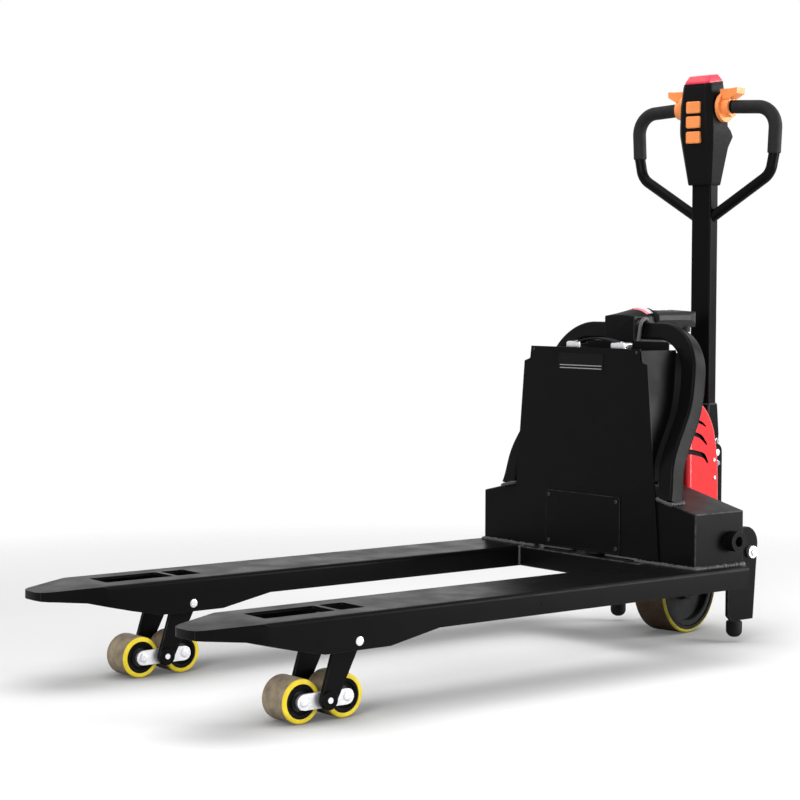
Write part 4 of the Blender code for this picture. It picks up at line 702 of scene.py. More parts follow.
def smooth_route(points: Sequence[Sequence[float]], steps: int) -> list[Vector]:
    """Curve through points.

    Args:
        points: Points to pass through.
        steps: Steps between two points.

    Returns:
        The finer points in order.
    """
    route = [Vector(p) for p in points]
    padded = [2 * route[0] - route[1], *route, 2 * route[-1] - route[-2]]
    curve = []
    for a, b, c, d in zip(padded, padded[1:], padded[2:], padded[3:]):
        for i in range(steps):
            t = i / steps
            bend = 2 * b + (c - a) * t + (2 * a - 5 * b + 4 * c - d) * t**2 + (3 * b - a - 3 * c + d) * t**3
            curve.append(bend / 2)
    return [*curve, route[-1]]


def swept(path: Sequence[Vector], normal: Point, section: Sequence[Flat],
          ends: float = 0.0) -> bmesh.types.BMesh:
    """Section carried along a path.

    Args:
        path: Points to follow.
        normal: Direction that the section's second coordinate follows.
        section: Offsets across the path and along the normal.
        ends: Radius over which the ends are rounded off.

    Returns:
        The form.
    """
    stations = [(point, 1.0) for point in path]
    if ends:
        width = max(math.hypot(u, v) for u, v in section)
        angles = [math.radians(15 * i) for i in range(7)]
        for _ in range(2):
            tip = stations[0][0]
            heading = (stations[1][0] - tip).normalized() * ends
            cap = [(tip + heading * (1 - math.cos(a)), 1 - ends / width * (1 - math.sin(a))) for a in angles]
            stations = [*cap, *stations[1:]][::-1]
    up = Vector(normal)
    rings = []
    last = len(stations) - 1
    for i, (point, scale) in enumerate(stations):
        heading = (stations[min(i + 1, last)][0] - stations[max(i - 1, 0)][0]).normalized()
        across = heading.cross(up).normalized()
        rise = across.cross(heading)
        rings.append([point + (across * u + rise * v) * scale for u, v in section])
    return skin(rings)


class Repeats:
    """Geometry Nodes groups that repeat a small part on points or along a line."""

    def __init__(self) -> None:
        """Builds both groups."""
        self.on_points = self._group("parts_on_points", {"Part": "Object", "Finish": "Material"})
        self.along_line = self._group(
            "bead_along_line", {"Part": "Object", "Finish": "Material", "Pitch": "Float", "Seed": "Int"}
        )
        self._fill_points()
        self._fill_line()

    def _group(self, name: str, inputs: dict[str, str]) -> bpy.types.GeometryNodeTree:
        """Starts a group with named inputs.

        Args:
            name: Name of the group.
            inputs: Input name to socket kind.

        Returns:
            The group.
        """
        tree = bpy.data.node_groups.new(name, "GeometryNodeTree")
        tree.interface.new_socket("Geometry", in_out="INPUT", socket_type="NodeSocketGeometry")
        for label, kind in inputs.items():
            tree.interface.new_socket(label, in_out="INPUT", socket_type=f"NodeSocket{kind}")
        tree.interface.new_socket("Geometry", in_out="OUTPUT", socket_type="NodeSocketGeometry")
        return tree

    def _instances(self, tree: bpy.types.GeometryNodeTree, start: bpy.types.Node,
                   points: bpy.types.NodeSocket, rotation: bpy.types.NodeSocket,
                   scale: bpy.types.NodeSocket | None = None) -> None:
        """Puts the part on points, makes it real and gives it its finish.

        Args:
            tree: Group to fill.
            start: Its input node.
            points: Points that carry the part.
            rotation: Turn of each part.
            scale: Size of each part, or none to leave it as it is.
        """
        add = tree.nodes.new
        link = tree.links.new
        info = add("GeometryNodeObjectInfo")
        link(start.outputs["Part"], info.inputs["Object"])
        place = add("GeometryNodeInstanceOnPoints")
        link(points, place.inputs["Points"])
        link(info.outputs["Geometry"], place.inputs["Instance"])
        link(rotation, place.inputs["Rotation"])
        if scale is not None:
            link(scale, place.inputs["Scale"])
        real = add("GeometryNodeRealizeInstances")
        link(place.outputs["Instances"], real.inputs["Geometry"])
        finish = add("GeometryNodeSetMaterial")
        link(real.outputs["Geometry"], finish.inputs["Geometry"])
        link(start.outputs["Finish"], finish.inputs["Material"])
        end = add("NodeGroupOutput")
        link(finish.outputs["Geometry"], end.inputs["Geometry"])

    def _fill_points(self) -> None:
        """Fills the group that puts a part on each point with the point's own turn."""
        tree = self.on_points
        start = tree.nodes.new("NodeGroupInput")
        points = tree.nodes.new("GeometryNodeMeshToPoints")
        tree.links.new(start.outputs["Geometry"], points.inputs["Mesh"])
        turn = tree.nodes.new("GeometryNodeInputNamedAttribute")
        turn.data_type = "FLOAT_VECTOR"
        turn.inputs["Name"].default_value = "turn"
        self._instances(tree, start, points.outputs["Points"], turn.outputs["Attribute"])

    def _fill_line(self) -> None:
        """Fills the group that lays uneven beads along a line."""
        tree = self.along_line
        add = tree.nodes.new
        link = tree.links.new
        start = add("NodeGroupInput")
        curve = add("GeometryNodeMeshToCurve")
        link(start.outputs["Geometry"], curve.inputs["Mesh"])
        fine = add("GeometryNodeResampleCurve")
        fine.mode = "LENGTH"
        link(curve.outputs["Curve"], fine.inputs["Curve"])
        link(start.outputs["Pitch"], fine.inputs["Length"])
        points = add("GeometryNodeCurveToPoints")
        points.mode = "EVALUATED"
        link(fine.outputs["Curve"], points.inputs["Curve"])
        size = add("FunctionNodeRandomValue")
        size.data_type = "FLOAT_VECTOR"
        size.inputs[0].default_value = BEAD_SMALLEST
        size.inputs[1].default_value = BEAD_LARGEST
        link(start.outputs["Seed"], size.inputs["Seed"])
        self._instances(tree, start, points.outputs["Points"], points.outputs["Rotation"], size.outputs[0])


class Bench:
    """Makes finished pieces and hangs them on the frame."""

    def __init__(self, nodes: dict[str, bpy.types.Object], palette: Palette) -> None:
        """Keeps what every piece needs.

        Args:
            nodes: CAD nodes by name.
            palette: Finishes.
        """
        self.nodes = nodes
        self.palette = palette
        self.repeats = Repeats()
        self.finished: list[str] = []

    def hang(self, shape: bpy.types.Object, body: str, stands_for: Iterable[str] = ()) -> bpy.types.Object:
        """Makes a piece ride on a body and stand for CAD nodes.

        Args:
            shape: The piece.
            body: Body it moves with.
            stands_for: CAD nodes it replaces.

        Returns:
            The piece.
        """
        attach(shape, body)
        names = list(stands_for)
        if names:
            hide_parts(*names)
        self.finished.append(shape.name)
        return shape

    def link(self, name: str, mesh: bpy.types.Mesh) -> bpy.types.Object:
        """Puts a mesh into the scene.

        Args:
            name: Name of the object.
            mesh: Its mesh.

        Returns:
            The object.
        """
        mesh.name = name
        shape = bpy.data.objects.new(name, mesh)
        bpy.context.scene.collection.objects.link(shape)
        return shape

    def settled(self, shape: bpy.types.Object) -> bpy.types.Object:
        """Applies the modifiers of a piece to its mesh.

        Args:
            shape: The piece.

        Returns:
            The same piece.
        """
        bpy.context.view_layer.update()
        graph = bpy.context.evaluated_depsgraph_get()
        mesh = bpy.data.meshes.new_from_object(shape.evaluated_get(graph))
        shape.modifiers.clear()
        mesh.name = shape.name
        shape.data = mesh
        return shape

    def shaded(self, shape: bpy.types.Object, sharp: float = 40.0) -> bpy.types.Object:
        """Shades a piece smooth with flat faces kept flat.

        Args:
            shape: The piece.
            sharp: Edges over this angle in degrees stay sharp.

        Returns:
            The same piece.
        """
        shape.data.shade_smooth()
        shape.data.set_sharp_from_angle(angle=math.radians(sharp))
        weights = shape.modifiers.new("flat_faces", "WEIGHTED_NORMAL")
        weights.keep_sharp = True
        return self.settled(shape)

    def piece(self, name: str, forms: Sequence[bmesh.types.BMesh], finish: str | Sequence[str], body: str,
              stands_for: Iterable[str] = (), place: Matrix = TRUCK, sharp: float = 40.0,
              paint: Callable[[Vector], int] | None = None) -> bpy.types.Object:
        """Makes one finished piece from drawn forms.

        Args:
            name: Name of the piece.
            forms: Closed forms in drawing coordinates.
            finish: Finish, or finishes that paint chooses from.
            body: Body it moves with.
            stands_for: CAD nodes it replaces.
            place: Drawing coordinates to the frame.
            sharp: Edges over this angle in degrees stay sharp.
            paint: Gives the finish's number from a face's centre in drawing coordinates.

        Returns:
            The piece.
        """
        mesh = bpy.data.meshes.new(name)
        whole = bmesh.new()
        for form in forms:
            part = bpy.data.meshes.new("part")
            form.to_mesh(part)
            form.free()
            whole.from_mesh(part)
            bpy.data.meshes.remove(part)
        if paint:
            for face in whole.faces:
                face.material_index = paint(face.calc_center_median())
        whole.to_mesh(mesh)
        whole.free()
        mesh.transform(place)
        shape = self.link(name, mesh)
        for key in [finish] if isinstance(finish, str) else finish:
            mesh.materials.append(self.palette[key])
        return self.hang(self.shaded(shape, sharp), body, stands_for)

    def rounded_edges(self, form: bmesh.types.BMesh, width: float, segments: int,
                      angle: float = 28.0) -> None:
        """Rounds the sharp edges of a form and marks the new faces as edges, which the satin paint lightens
        as a painted highlight.

        Args:
            form: Form to change.
            width: Width of the rounding.
            segments: Steps in the rounding.
            angle: Edges over this angle in degrees are rounded.
        """
        limit = math.radians(angle)
        edges = [e for e in form.edges if len(e.link_faces) == 2 and e.calc_face_angle(0.0) > limit]
        mark = form.faces.layers.float.get("edge") or form.faces.layers.float.new("edge")
        result = bmesh.ops.bevel(
            form, geom=edges, offset=width, offset_type="OFFSET", segments=segments, profile=0.5,
            affect="EDGES", clamp_overlap=True,
        )
        for face in result["faces"]:
            face[mark] = 1.0

    def refined(self, node: str, finish: str, bevel: float, segments: int = 2) -> bpy.types.Object:
        """Makes a copy of a CAD node with rounded edges.

        Args:
            node: CAD node to stand for.
            finish: Finish of the copy.
            bevel: Width of the rounding.
            segments: Steps in the rounding.

        Returns:
            The piece.
        """
        source = self.nodes[node]
        form = bmesh.new()
        form.from_mesh(source.data)
        bmesh.ops.remove_doubles(form, verts=form.verts, dist=MERGE_DISTANCE)
        bmesh.ops.dissolve_limit(form, angle_limit=FLAT_ANGLE, verts=form.verts, edges=form.edges)
        self.rounded_edges(form, bevel, segments)
        mesh = bpy.data.meshes.new(node)
        form.to_mesh(mesh)
        form.free()
        mesh.materials.append(self.palette[finish])
        shape = self.link(f"{node}_finished", mesh)
        return self.hang(self.shaded(shape, sharp=46.0), source["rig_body"], [node])

    def coat(self, node: str, finish: str) -> None:
        """Gives a CAD node that stays as it is its finish.

        Args:
            node: CAD node.
            finish: Finish to give it.
        """
        slots = self.nodes[node].material_slots
        for slot in slots:
            slot.material = self.palette[finish]
        self.finished.append(node)

    def _repeat(self, name: str, carrier: bpy.types.Mesh, group: bpy.types.GeometryNodeTree,
                unit: bmesh.types.BMesh, values: dict[str, object], finish: str,
                body: str) -> bpy.types.Object:
        """Runs one repeat group on a carrier mesh and keeps its result as a piece.

        Args:
            name: Name of the piece.
            carrier: Points or line that the parts follow.
            group: Geometry Nodes group.
            unit: Form of one part.
            values: Further inputs of the group by name.
            finish: Finish of the parts.
            body: Body the piece moves with.

        Returns:
            The piece.
        """
        part_mesh = bpy.data.meshes.new("unit")
        unit.to_mesh(part_mesh)
        unit.free()
        part_mesh.shade_smooth()
        part_mesh.set_sharp_from_angle(angle=math.radians(40))
        part = self.link("unit", part_mesh)
        shape = self.link(name, carrier)
        step = shape.modifiers.new("repeat", "NODES")
        step.node_group = group
        inputs = {"Part": part, "Finish": self.palette[finish], **values}
        for socket in group.interface.items_tree:
            if socket.in_out == "INPUT" and socket.name in inputs:
                step[socket.identifier] = inputs[socket.name]
        self.settled(shape)
        bpy.data.objects.remove(part)
        return self.hang(shape, body)

    def scatter(self, name: str, spots: Sequence[tuple[Point, Point]], unit: bmesh.types.BMesh,
                finish: str, body: str, place: Matrix = TRUCK) -> bpy.types.Object:
        """Repeats a small part on given spots.

        Args:
            name: Name of the piece.
            spots: Place and outward direction of each part, in drawing coordinates.
            unit: Form of one part, standing on its origin along +Z.
            finish: Finish of the parts.
            body: Body the piece moves with.
            place: Drawing coordinates to the frame.

        Returns:
            The piece.
        """
        carrier = bpy.data.meshes.new(name)
        carrier.from_pydata([place @ Vector(at) for at, _ in spots], [], [])
        turn = carrier.attributes.new("turn", "FLOAT_VECTOR", "POINT")
        for i, (_, out) in enumerate(spots):
            heading = place.to_3x3() @ Vector(out)
            turn.data[i].vector = heading.to_track_quat("Z", "Y").to_euler()
        return self._repeat(name, carrier, self.repeats.on_points, unit, {}, finish, body)

    def weld(self, name: str, lines: Sequence[Sequence[Point]], radius: float, finish: str, body: str,
             seed: int, place: Matrix = TRUCK) -> bpy.types.Object:
        """Lays a weld bead along lines.

        Args:
            name: Name of the piece.
            lines: Polylines in drawing coordinates.
            radius: Radius of the bead.
            finish: Finish of the bead.
            body: Body the piece moves with.
            seed: Seed of its unevenness.
            place: Drawing coordinates to the frame.

        Returns:
            The piece.
        """
        points: list[Vector] = []
        edges: list[tuple[int, int]] = []
        for line in lines:
            first = len(points)
            points += [place @ Vector(p) for p in line]
            edges += [(i, i + 1) for i in range(first, len(points) - 1)]
        carrier = bpy.data.meshes.new(name)
        carrier.from_pydata(points, edges, [])
        unit = bmesh.new()
        bmesh.ops.create_icosphere(unit, subdivisions=2, radius=radius)
        values = {"Pitch": radius * BEAD_PITCH, "Seed": seed}
        return self._repeat(name, carrier, self.repeats.along_line, unit, values, finish, body)


def cap_screw(radius: float, height: float) -> bmesh.types.BMesh:
    """Round screw head with a sunk hexagon.

    Args:
        radius: Radius of the head.
        height: Height of the head.

    Returns:
        The form, standing on its origin along +Z.
    """
    rim = radius * 0.82
    floor = height * 0.35
    profile = [(radius, -height * 0.3), (radius, height * 0.6), (rim, height), (radius * 0.5, height)]
    profile += [(radius * 0.46, floor), (0.0, floor)]
    form = turned(profile[::-1], Axis.Z, (0, 0, 0), steps=24)
    bmesh.ops.holes_fill(form, edges=form.edges, sides=0)
    return form


def hex_bolt(radius: float, height: float) -> bmesh.types.BMesh:
    """Hexagon head on a washer.

    Args:
        radius: Radius over the corners of the head.
        height: Height of the head over the washer.

    Returns:
        The form, standing on its origin along +Z.
    """
    washer = height * 0.22
    profile = [(0.0, height), (radius * 0.86, height), (radius, height * 0.86), (radius, washer)]
    head = turned([*profile, (0.0, washer)], Axis.Z, (0, 0, 0), steps=6)
    reach = radius * 1.3
    ring = [(0.0, -washer), (radius * 1.25, -washer), (reach, -washer * 0.5), (reach, washer * 0.7)]
    plate = turned([*ring, (radius * 1.22, washer), (0.0, washer)], Axis.Z, (0, 0, 0), steps=36)
    mesh = bpy.data.meshes.new("plate")
    plate.to_mesh(mesh)
    plate.free()
    head.from_mesh(mesh)
    bpy.data.meshes.remove(mesh)
    return head


@dataclass
class ForkFrame:
    """Forks, cross member and arm pins, with the welds at the inner corners."""

    fork_y: float = 0.2625
    inner_y: float = 0.1825
    half_width: float = 0.080
    pin: Flat = (-0.827, 0.1405)
    pin_radius: float = 0.008
    pin_rises: Point = (0.0006, 0.0016, 0.0008)
    pin_shares: Point = (0.35, 0.42, 0.8)
    edge: float = 0.0040
    bead: float = 0.0034
    rail: Flat = (0.150, 0.1865)
    nose_x: Flat = (-1.080, -1.125)
    nose_top: float = 0.172
    nose_drop: float = 0.0045
    weld_gap: float = 0.0006
    weld_run: Flat = (0.015, 0.001)

    def deepen_nose(self, fork: bpy.types.Object) -> None:
        """Makes the fork's nose deeper below.

        Args:
            fork: Finished fork.
        """
        start, full = self.nose_x
        for vertex in fork.data.vertices:
            at = TRUCK.inverted() @ vertex.co
            if at.z < self.nose_top:
                share = min(max((at.x - start) / (full - start), 0.0), 1.0)
                vertex.co.z -= self.nose_drop * share

    def build(self, bench: Bench) -> None:
        """Makes the pieces.

        Args:
            bench: Where pieces are made.
        """
        for side, sign in SIDES.items():
            self.deepen_nose(bench.refined(f"fork_{side}", "paint", bevel=self.edge, segments=4))
            dimple, crown, edge = (self.half_width + rise for rise in self.pin_rises)
            inner, lip, outer = (self.pin_radius * share for share in self.pin_shares)
            tip = [(0.0, dimple), (inner, dimple), (lip, crown), (outer, crown), (self.pin_radius, edge)]
            profile = [(u, -v) for u, v in tip] + tip[::-1]
            pin = turned(profile, Axis.Y, (self.pin[0], sign * self.fork_y, self.pin[1]), steps=36)
            bench.piece(f"arm_pin_{side}_turned", [pin], "zinc", "chassis", [f"arm_pin_{side}"])
        bench.refined("cross_member", "paint", bevel=self.edge)

    def dress(self, bench: Bench) -> None:
        """Adds the welds.

        Args:
            bench: Where pieces are made.
        """
        lines = []
        for sign in SIDES.values():
            y = sign * (self.inner_y - self.weld_gap)
            lines.append([(0.0, y, self.rail[0]), (0.0, y, self.rail[1])])
            along, rise = self.weld_run
            lines.append([(0.0, y, self.rail[1]), (along, y, self.rail[1] + rise)])
        bench.weld("inner_corner_welds", lines, self.bead, "weld", "chassis", seed=3)


@dataclass
class LoadEnd:
    """Load arms, bogies and load wheels of both forks."""

    fork_y: float = 0.2625
    bogie: Flat = (-0.8687, 0.039)
    pitch: float = 0.0914
    radius: float = 0.039
    half: float = 0.0322
    hub_radius: float = 0.030
    race_radius: float = 0.0175
    edge: float = 0.0035
    clean_share: float = 0.75
    hub_profile: tuple[Flat, ...] = (
        (0.0063, 0.0252),
        (0.0175, 0.0252),
        (0.0175, 0.0282),
        (0.0220, 0.0282),
        (0.0230, 0.0306),
        (0.0285, 0.0312),
        (0.0300, 0.0300),
    )
    plate_y: float = 0.0405
    arm_y: float = 0.050
    boss: Flat = (0.0060, 0.0170)
    boss_height: float = 0.0036
    boss_edge: float = 0.4
    gap: float = 0.0003

    def build(self, bench: Bench) -> None:
        """Makes arms, bogies and wheels.

        Args:
            bench: Where pieces are made.
        """
        for side, sign in SIDES.items():
            bench.refined(f"load_arm_{side}", "paint", bevel=0.0012)
            bench.refined(f"bogie_{side}", "zinc", bevel=0.0009)
            for place, step in (("front", -0.5), ("rear", 0.5)):
                centre = (self.bogie[0] + step * self.pitch, sign * self.fork_y, self.bogie[1])
                self.wheel(bench, f"{side}_{place}", centre)

    def wheel(self, bench: Bench, name: str, centre: Point) -> None:
        """Makes one wheel with a dusty tread, a clean yellow edge and a black hub.

        Args:
            bench: Where pieces are made.
            name: Side and place of the wheel.
            centre: Middle of its axle.
        """
        outline = tyre_outline(self.radius, self.half, self.hub_radius + self.gap, self.edge)
        middle = Vector(centre)

        def paint(at: Vector) -> int:
            """Chooses the tread or the clean edge.

            Args:
                at: Middle of a face.

            Returns:
                Number of the finish.
            """
            return 1 if abs(at.y - middle.y) > self.half - self.edge * self.clean_share else 0

        body = f"roller_{name}"
        tyre = turned(outline, Axis.Y, centre, steps=96)
        finishes = ("load_tread", "load_edge")
        bench.piece(f"load_tyre_{name}_cast", [tyre], finishes, body, [f"load_tyre_{name}"], paint=paint)

        def darken(at: Vector) -> int:
            """Chooses the ring or the bearing.

            Args:
                at: Middle of a face.

            Returns:
                Number of the finish.
            """
            return 1 if math.hypot(at.x - middle.x, at.z - middle.z) < self.race_radius else 0

        hub = turned(mirrored(self.hub_profile), Axis.Y, centre, steps=96)
        finishes = ("paint", "dark_steel")
        bench.piece(f"load_hub_{name}_turned", [hub], finishes, body, [f"load_hub_{name}"], paint=darken)

    def dress(self, bench: Bench) -> None:
        """Adds bolt heads on the bogies and bosses on the feet of the arms.

        Args:
            bench: Where pieces are made.
        """
        for side, sign in SIDES.items():
            spots = []
            for out in (-1, 1):
                for step in (-0.5, 0.5):
                    x = self.bogie[0] + step * self.pitch
                    spots.append(((x, sign * self.fork_y + out * self.plate_y, self.bogie[1]), (0, out, 0)))
            nut = cap_screw(radius=0.0085, height=0.0012)
            bench.scatter(f"axle_nuts_{side}", spots, nut, "zinc", f"rocker_{side}")
            inner, outer = self.boss
            rise = self.boss_height
            edge = rise * self.boss_edge
            profile = [(inner, 0.0), (outer, 0.0), (outer, rise - edge), (outer - edge, rise), (inner, rise)]
            bosses = []
            for out in (-1, 1):
                centre = (self.bogie[0], sign * self.fork_y + out * self.arm_y, self.bogie[1])
                bosses.append(turned([(u, out * v) for u, v in profile], Axis.Y, centre, steps=48))
            arm = bench.nodes[f"load_arm_{side}"]["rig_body"]
            bench.piece(f"arm_bosses_{side}", bosses, "paint", arm)


@dataclass
class Housing:
    """Side boxes, deck, front panel, cover and hoop, with welds, screws and a blank badge."""

    foot: Point = (0.029, 0.236, 0.318)
    corner: Point = (0.150, 0.190, 0.649)
    sway: tuple[Flat, ...] = ((0.0, 0.0), (0.20, -0.009), (0.57, 0.0145), (1.0, 0.0))
    bend: float = 0.100
    size: float = 0.038
    edge: float = 0.006
    panel_x: float = 0.0135
    cover: Flat = (0.1115, 0.0585)
    cover_middle: float = 0.2575
    screw_inset: float = 0.010
    rivets: tuple[Flat, ...] = ((0.154, 0.613), (-0.154, 0.613))
    badge: tuple[Flat, Flat] = ((-0.058, 0.573), (0.076, 0.607))
    trim_heights: tuple[float, ...] = (0.5765, 0.5825)
    box_x: Flat = (0.0172, 0.1553)
    box_y: float = 0.318
    box_inner_y: float = 0.156
    box_wall_top: float = 0.2987
    deck_top: float = 0.336
    fork_top: float = 0.189
    bead: float = 0.0052
    gusset_z: Flat = (0.351, 0.613)
    gusset_y: Flat = (0.2052, 0.1660)
    back_plate: tuple[Point, Point] = ((0.0972, -0.1615, 0.5900), (0.1000, 0.1615, 0.6335))
    foot_sink: float = 0.004
    flange_reach: float = 0.64
    flange_sheet: float = 0.002
    cover_sheet: float = 0.0023
    badge_inset: float = 0.004
    badge_rise: float = 0.0012
    trim_half: float = 0.001
    trim_rise: Flat = (0.0011, 0.0018)
    weld_lift: Flat = (0.0006, 0.0012)
    weld_ahead: float = 0.001
    foot_bead_share: float = 0.9
    foot_weld_gap: float = 0.0005
    foot_weld_shift: float = 0.002

    @property
    def along(self) -> Vector:
        """Direction of the leaning legs in the side view."""
        return Vector((self.corner[0] - self.foot[0], 0.0, self.corner[2] - self.foot[2])).normalized()

    def hoop_path(self) -> list[Vector]:
        """Middle line of the hoop from one foot to the other.

        Returns:
            The points in order.
        """
        lean = (self.corner[2] - self.foot[2]) / self.along.z
        slope = (self.box_wall_top - self.deck_top) / (self.box_y - self.box_inner_y)
        rise = self.deck_top + slope * (self.foot[1] - self.box_inner_y) - self.foot[2]
        out = (self.foot[1] - self.corner[1]) / lean
        start = (self.foot[1] - out * (rise - self.foot_sink), rise - self.foot_sink)
        half = bent(start, (self.corner[1], lean), (0.0, lean), self.bend, 28)[:-1]
        leg = [half[0].lerp(half[1], i / 30) for i in range(30)]
        half = leg + half[1:]
        flat = half + [Vector((-p.x, p.y)) for p in reversed(half)]
        base = Vector((self.foot[0], 0.0, self.foot[2]))
        path = [base + Vector((0, p.x, 0)) + self.along * p.y for p in flat]
        return [p + Vector((self.sway_at(p.z), 0.0, 0.0)) for p in path]

    def sway_at(self, height: float) -> float:
        """How far a leg sways back from its straight line.

        Args:
            height: Height on the leg.

        Returns:
            The offset along X.
        """
        share = (height - self.foot[2]) / (self.corner[2] - self.foot[2])
        for (low, first), (high, second) in zip(self.sway, self.sway[1:]):
            if low <= share < high:
                part = (share - low) / (high - low)
                return first + (second - first) * part * part * (3 - 2 * part)
        return 0.0

    def flange(self, sign: int) -> bmesh.types.BMesh:
        """Folded strip that joins a gusset to the hoop's leg.

        Args:
            sign: Side, -1 or 1.

        Returns:
            The form.
        """
        low, high = self.gusset_z
        rings = []
        for p in self.hoop_path():
            if p.y * sign > 0 and low < p.z < high:
                share = (p.z - low) / (high - low)
                edge = self.gusset_y[0] + (self.gusset_y[1] - self.gusset_y[0]) * share
                front = (p.x - self.size * self.flange_reach, sign * edge, p.z)
                rear = (p.x, p.y, p.z)
                back = [(x + self.flange_sheet, y, z) for x, y, z in (rear, front)]
                rings.append([front, rear, *back])
        return skin(rings)

    def build(self, bench: Bench) -> None:
        """Makes the sheet metal and the hoop.

        Args:
            bench: Where pieces are made.
        """
        for side in SIDES:
            bench.refined(f"side_box_{side}", "paint", bevel=0.0022, segments=3)
        bench.refined("deck_plate", "paint", bevel=0.0012)
        bench.refined("front_panel", "paint", bevel=0.0009)
        bench.refined("access_cover", "paint", bevel=0.0007)
        half = self.size / 2
        section = rounded((-half, -half), (half, half), self.edge, 5)
        normal = Vector((self.along.z, 0.0, -self.along.x))
        tube = swept(self.hoop_path(), normal, section)
        bench.piece("hoop_bent", [tube], "paint", "chassis", ["hoop"], sharp=50.0)
        strips = [self.flange(sign) for sign in SIDES.values()]
        bench.piece("gusset_flanges", strips, "paint", "chassis")
        low, high = self.back_plate
        sheet = prism(rounded(low[1:], high[1:], radius=0.006), Axis.X, low[0], high[0])
        bench.rounded_edges(sheet, width=0.0006, segments=2, angle=60.0)
        bench.piece("battery_back_plate", [sheet], "plastic", "chassis")

    def dress(self, bench: Bench) -> None:
        """Adds screws, rivets, the badge place and welds.

        Args:
            bench: Where pieces are made.
        """
        front = self.panel_x - self.cover_sheet
        wide, tall = (size - self.screw_inset for size in self.cover)
        spots = []
        for y in (-1, 1):
            for z in (-1, 1):
                spots.append(((front, y * wide, self.cover_middle + z * tall), (-1, 0, 0)))
        bench.scatter("cover_screws", spots, cap_screw(radius=0.0042, height=0.0022), "dark_steel", "chassis")
        spots = [((self.panel_x, y, z), (-1, 0, 0)) for y, z in self.rivets]
        bench.scatter("panel_rivets", spots, cap_screw(radius=0.003, height=0.0015), "dark_steel", "chassis")
        low, high = self.badge
        face = self.panel_x - self.badge_rise
        plate = pillow(low, high, corner=0.004, axis=Axis.X, base=self.panel_x, top=face, edge=0.0008)
        bench.piece("badge_plate", [plate], "badge", "chassis")
        bars = []
        base, top = (self.panel_x - rise for rise in self.trim_rise)
        for height in self.trim_heights:
            start = (low[0] + self.badge_inset, height - self.trim_half)
            end = (high[0] - self.badge_inset, height + self.trim_half)
            bars.append(pillow(start, end, corner=0.0008, axis=Axis.X, base=base, top=top, edge=0.0004))
        bench.piece("badge_trim", bars, "steel", "chassis")
        lines = []
        for sign in SIDES.values():
            y = sign * (self.box_y + self.weld_lift[0])
            z = self.fork_top + self.weld_lift[1]
            lines.append([(self.box_x[0], y, z), (self.box_x[1], y, z)])
            x = self.box_x[0] - self.weld_ahead
            lines.append([(x, y, z), (x, sign * self.box_inner_y, z)])
        bench.weld("side_box_welds", lines, self.bead, "weld", "chassis", seed=11)
        bead = self.bead * self.foot_bead_share
        bench.weld("hoop_foot_welds", self.foot_lines(), bead, "weld", "chassis", seed=7)

    def foot_lines(self) -> list[list[Point]]:
        """Closed lines round the feet of the hoop, on the slope of the side boxes.

        Returns:
            One line per foot.
        """
        slope = (self.box_wall_top - self.deck_top) / (self.box_y - self.box_inner_y)
        half = self.size / 2 + self.foot_weld_gap
        lines = []
        for sign in SIDES.values():
            line = []
            for u, v in rounded((-half, -half), (half, half), self.edge, 3):
                y = self.foot[1] + u
                z = self.deck_top + slope * (y - self.box_inner_y)
                line.append((self.foot[0] + v + self.foot_weld_shift, sign * y, z))
            lines.append([*line, line[0]])
        return lines


@dataclass
class BatteryBay:
    """Battery box, pack and carrying strap with bright clips."""

    top: float = 0.6003
    strap_x: Flat = (0.046, 0.068)
    half: float = 0.067
    rise: float = 0.038
    clip_half: float = 0.0215
    clip_height: float = 0.031
    thickness: float = 0.004
    pin_sink: float = 0.0002

    def build(self, bench: Bench) -> None:
        """Makes the box, the pack and the strap.

        Args:
            bench: Where pieces are made.
        """
        bench.refined("battery_box", "plastic", bevel=0.0009)
        bench.refined("battery_pack", "battery", bevel=0.003, segments=3)
        middle = sum(self.strap_x) / 2
        drop = self.rise - self.clip_height + self.thickness
        path = []
        for i in range(41):
            along = i / 20 - 1
            path.append(Vector((middle, self.half * along, self.top + self.rise - drop * along * along)))
        wide = (self.strap_x[1] - self.strap_x[0]) / 2
        thick = self.thickness / 2
        section = rounded((-thick, -wide), (thick, wide), thick * 0.8, 4)
        band = swept(path, (1, 0, 0), section)
        bench.piece("battery_strap_woven", [band], "strap", "battery", ["battery_strap"])
        clips = []
        for sign in SIDES.values():
            low = (self.strap_x[0] - thick, sign * self.half - self.clip_half)
            high = (self.strap_x[1] + thick, sign * self.half + self.clip_half)
            top = self.top + self.clip_height
            clips.append(pillow(low, high, corner=0.004, axis=Axis.Z, base=self.top, top=top, edge=0.005))
        bench.piece("strap_clips", clips, "chrome", "battery")

    def dress(self, bench: Bench) -> None:
        """Adds the pins of the clips.

        Args:
            bench: Where pieces are made.
        """
        middle = sum(self.strap_x) / 2
        z = self.top + self.clip_height - self.pin_sink
        spots = [((middle, s * self.half, z), (0, 0, 1)) for s in SIDES.values()]
        bench.scatter("clip_pins", spots, cap_screw(radius=0.004, height=0.0016), "steel", "battery")


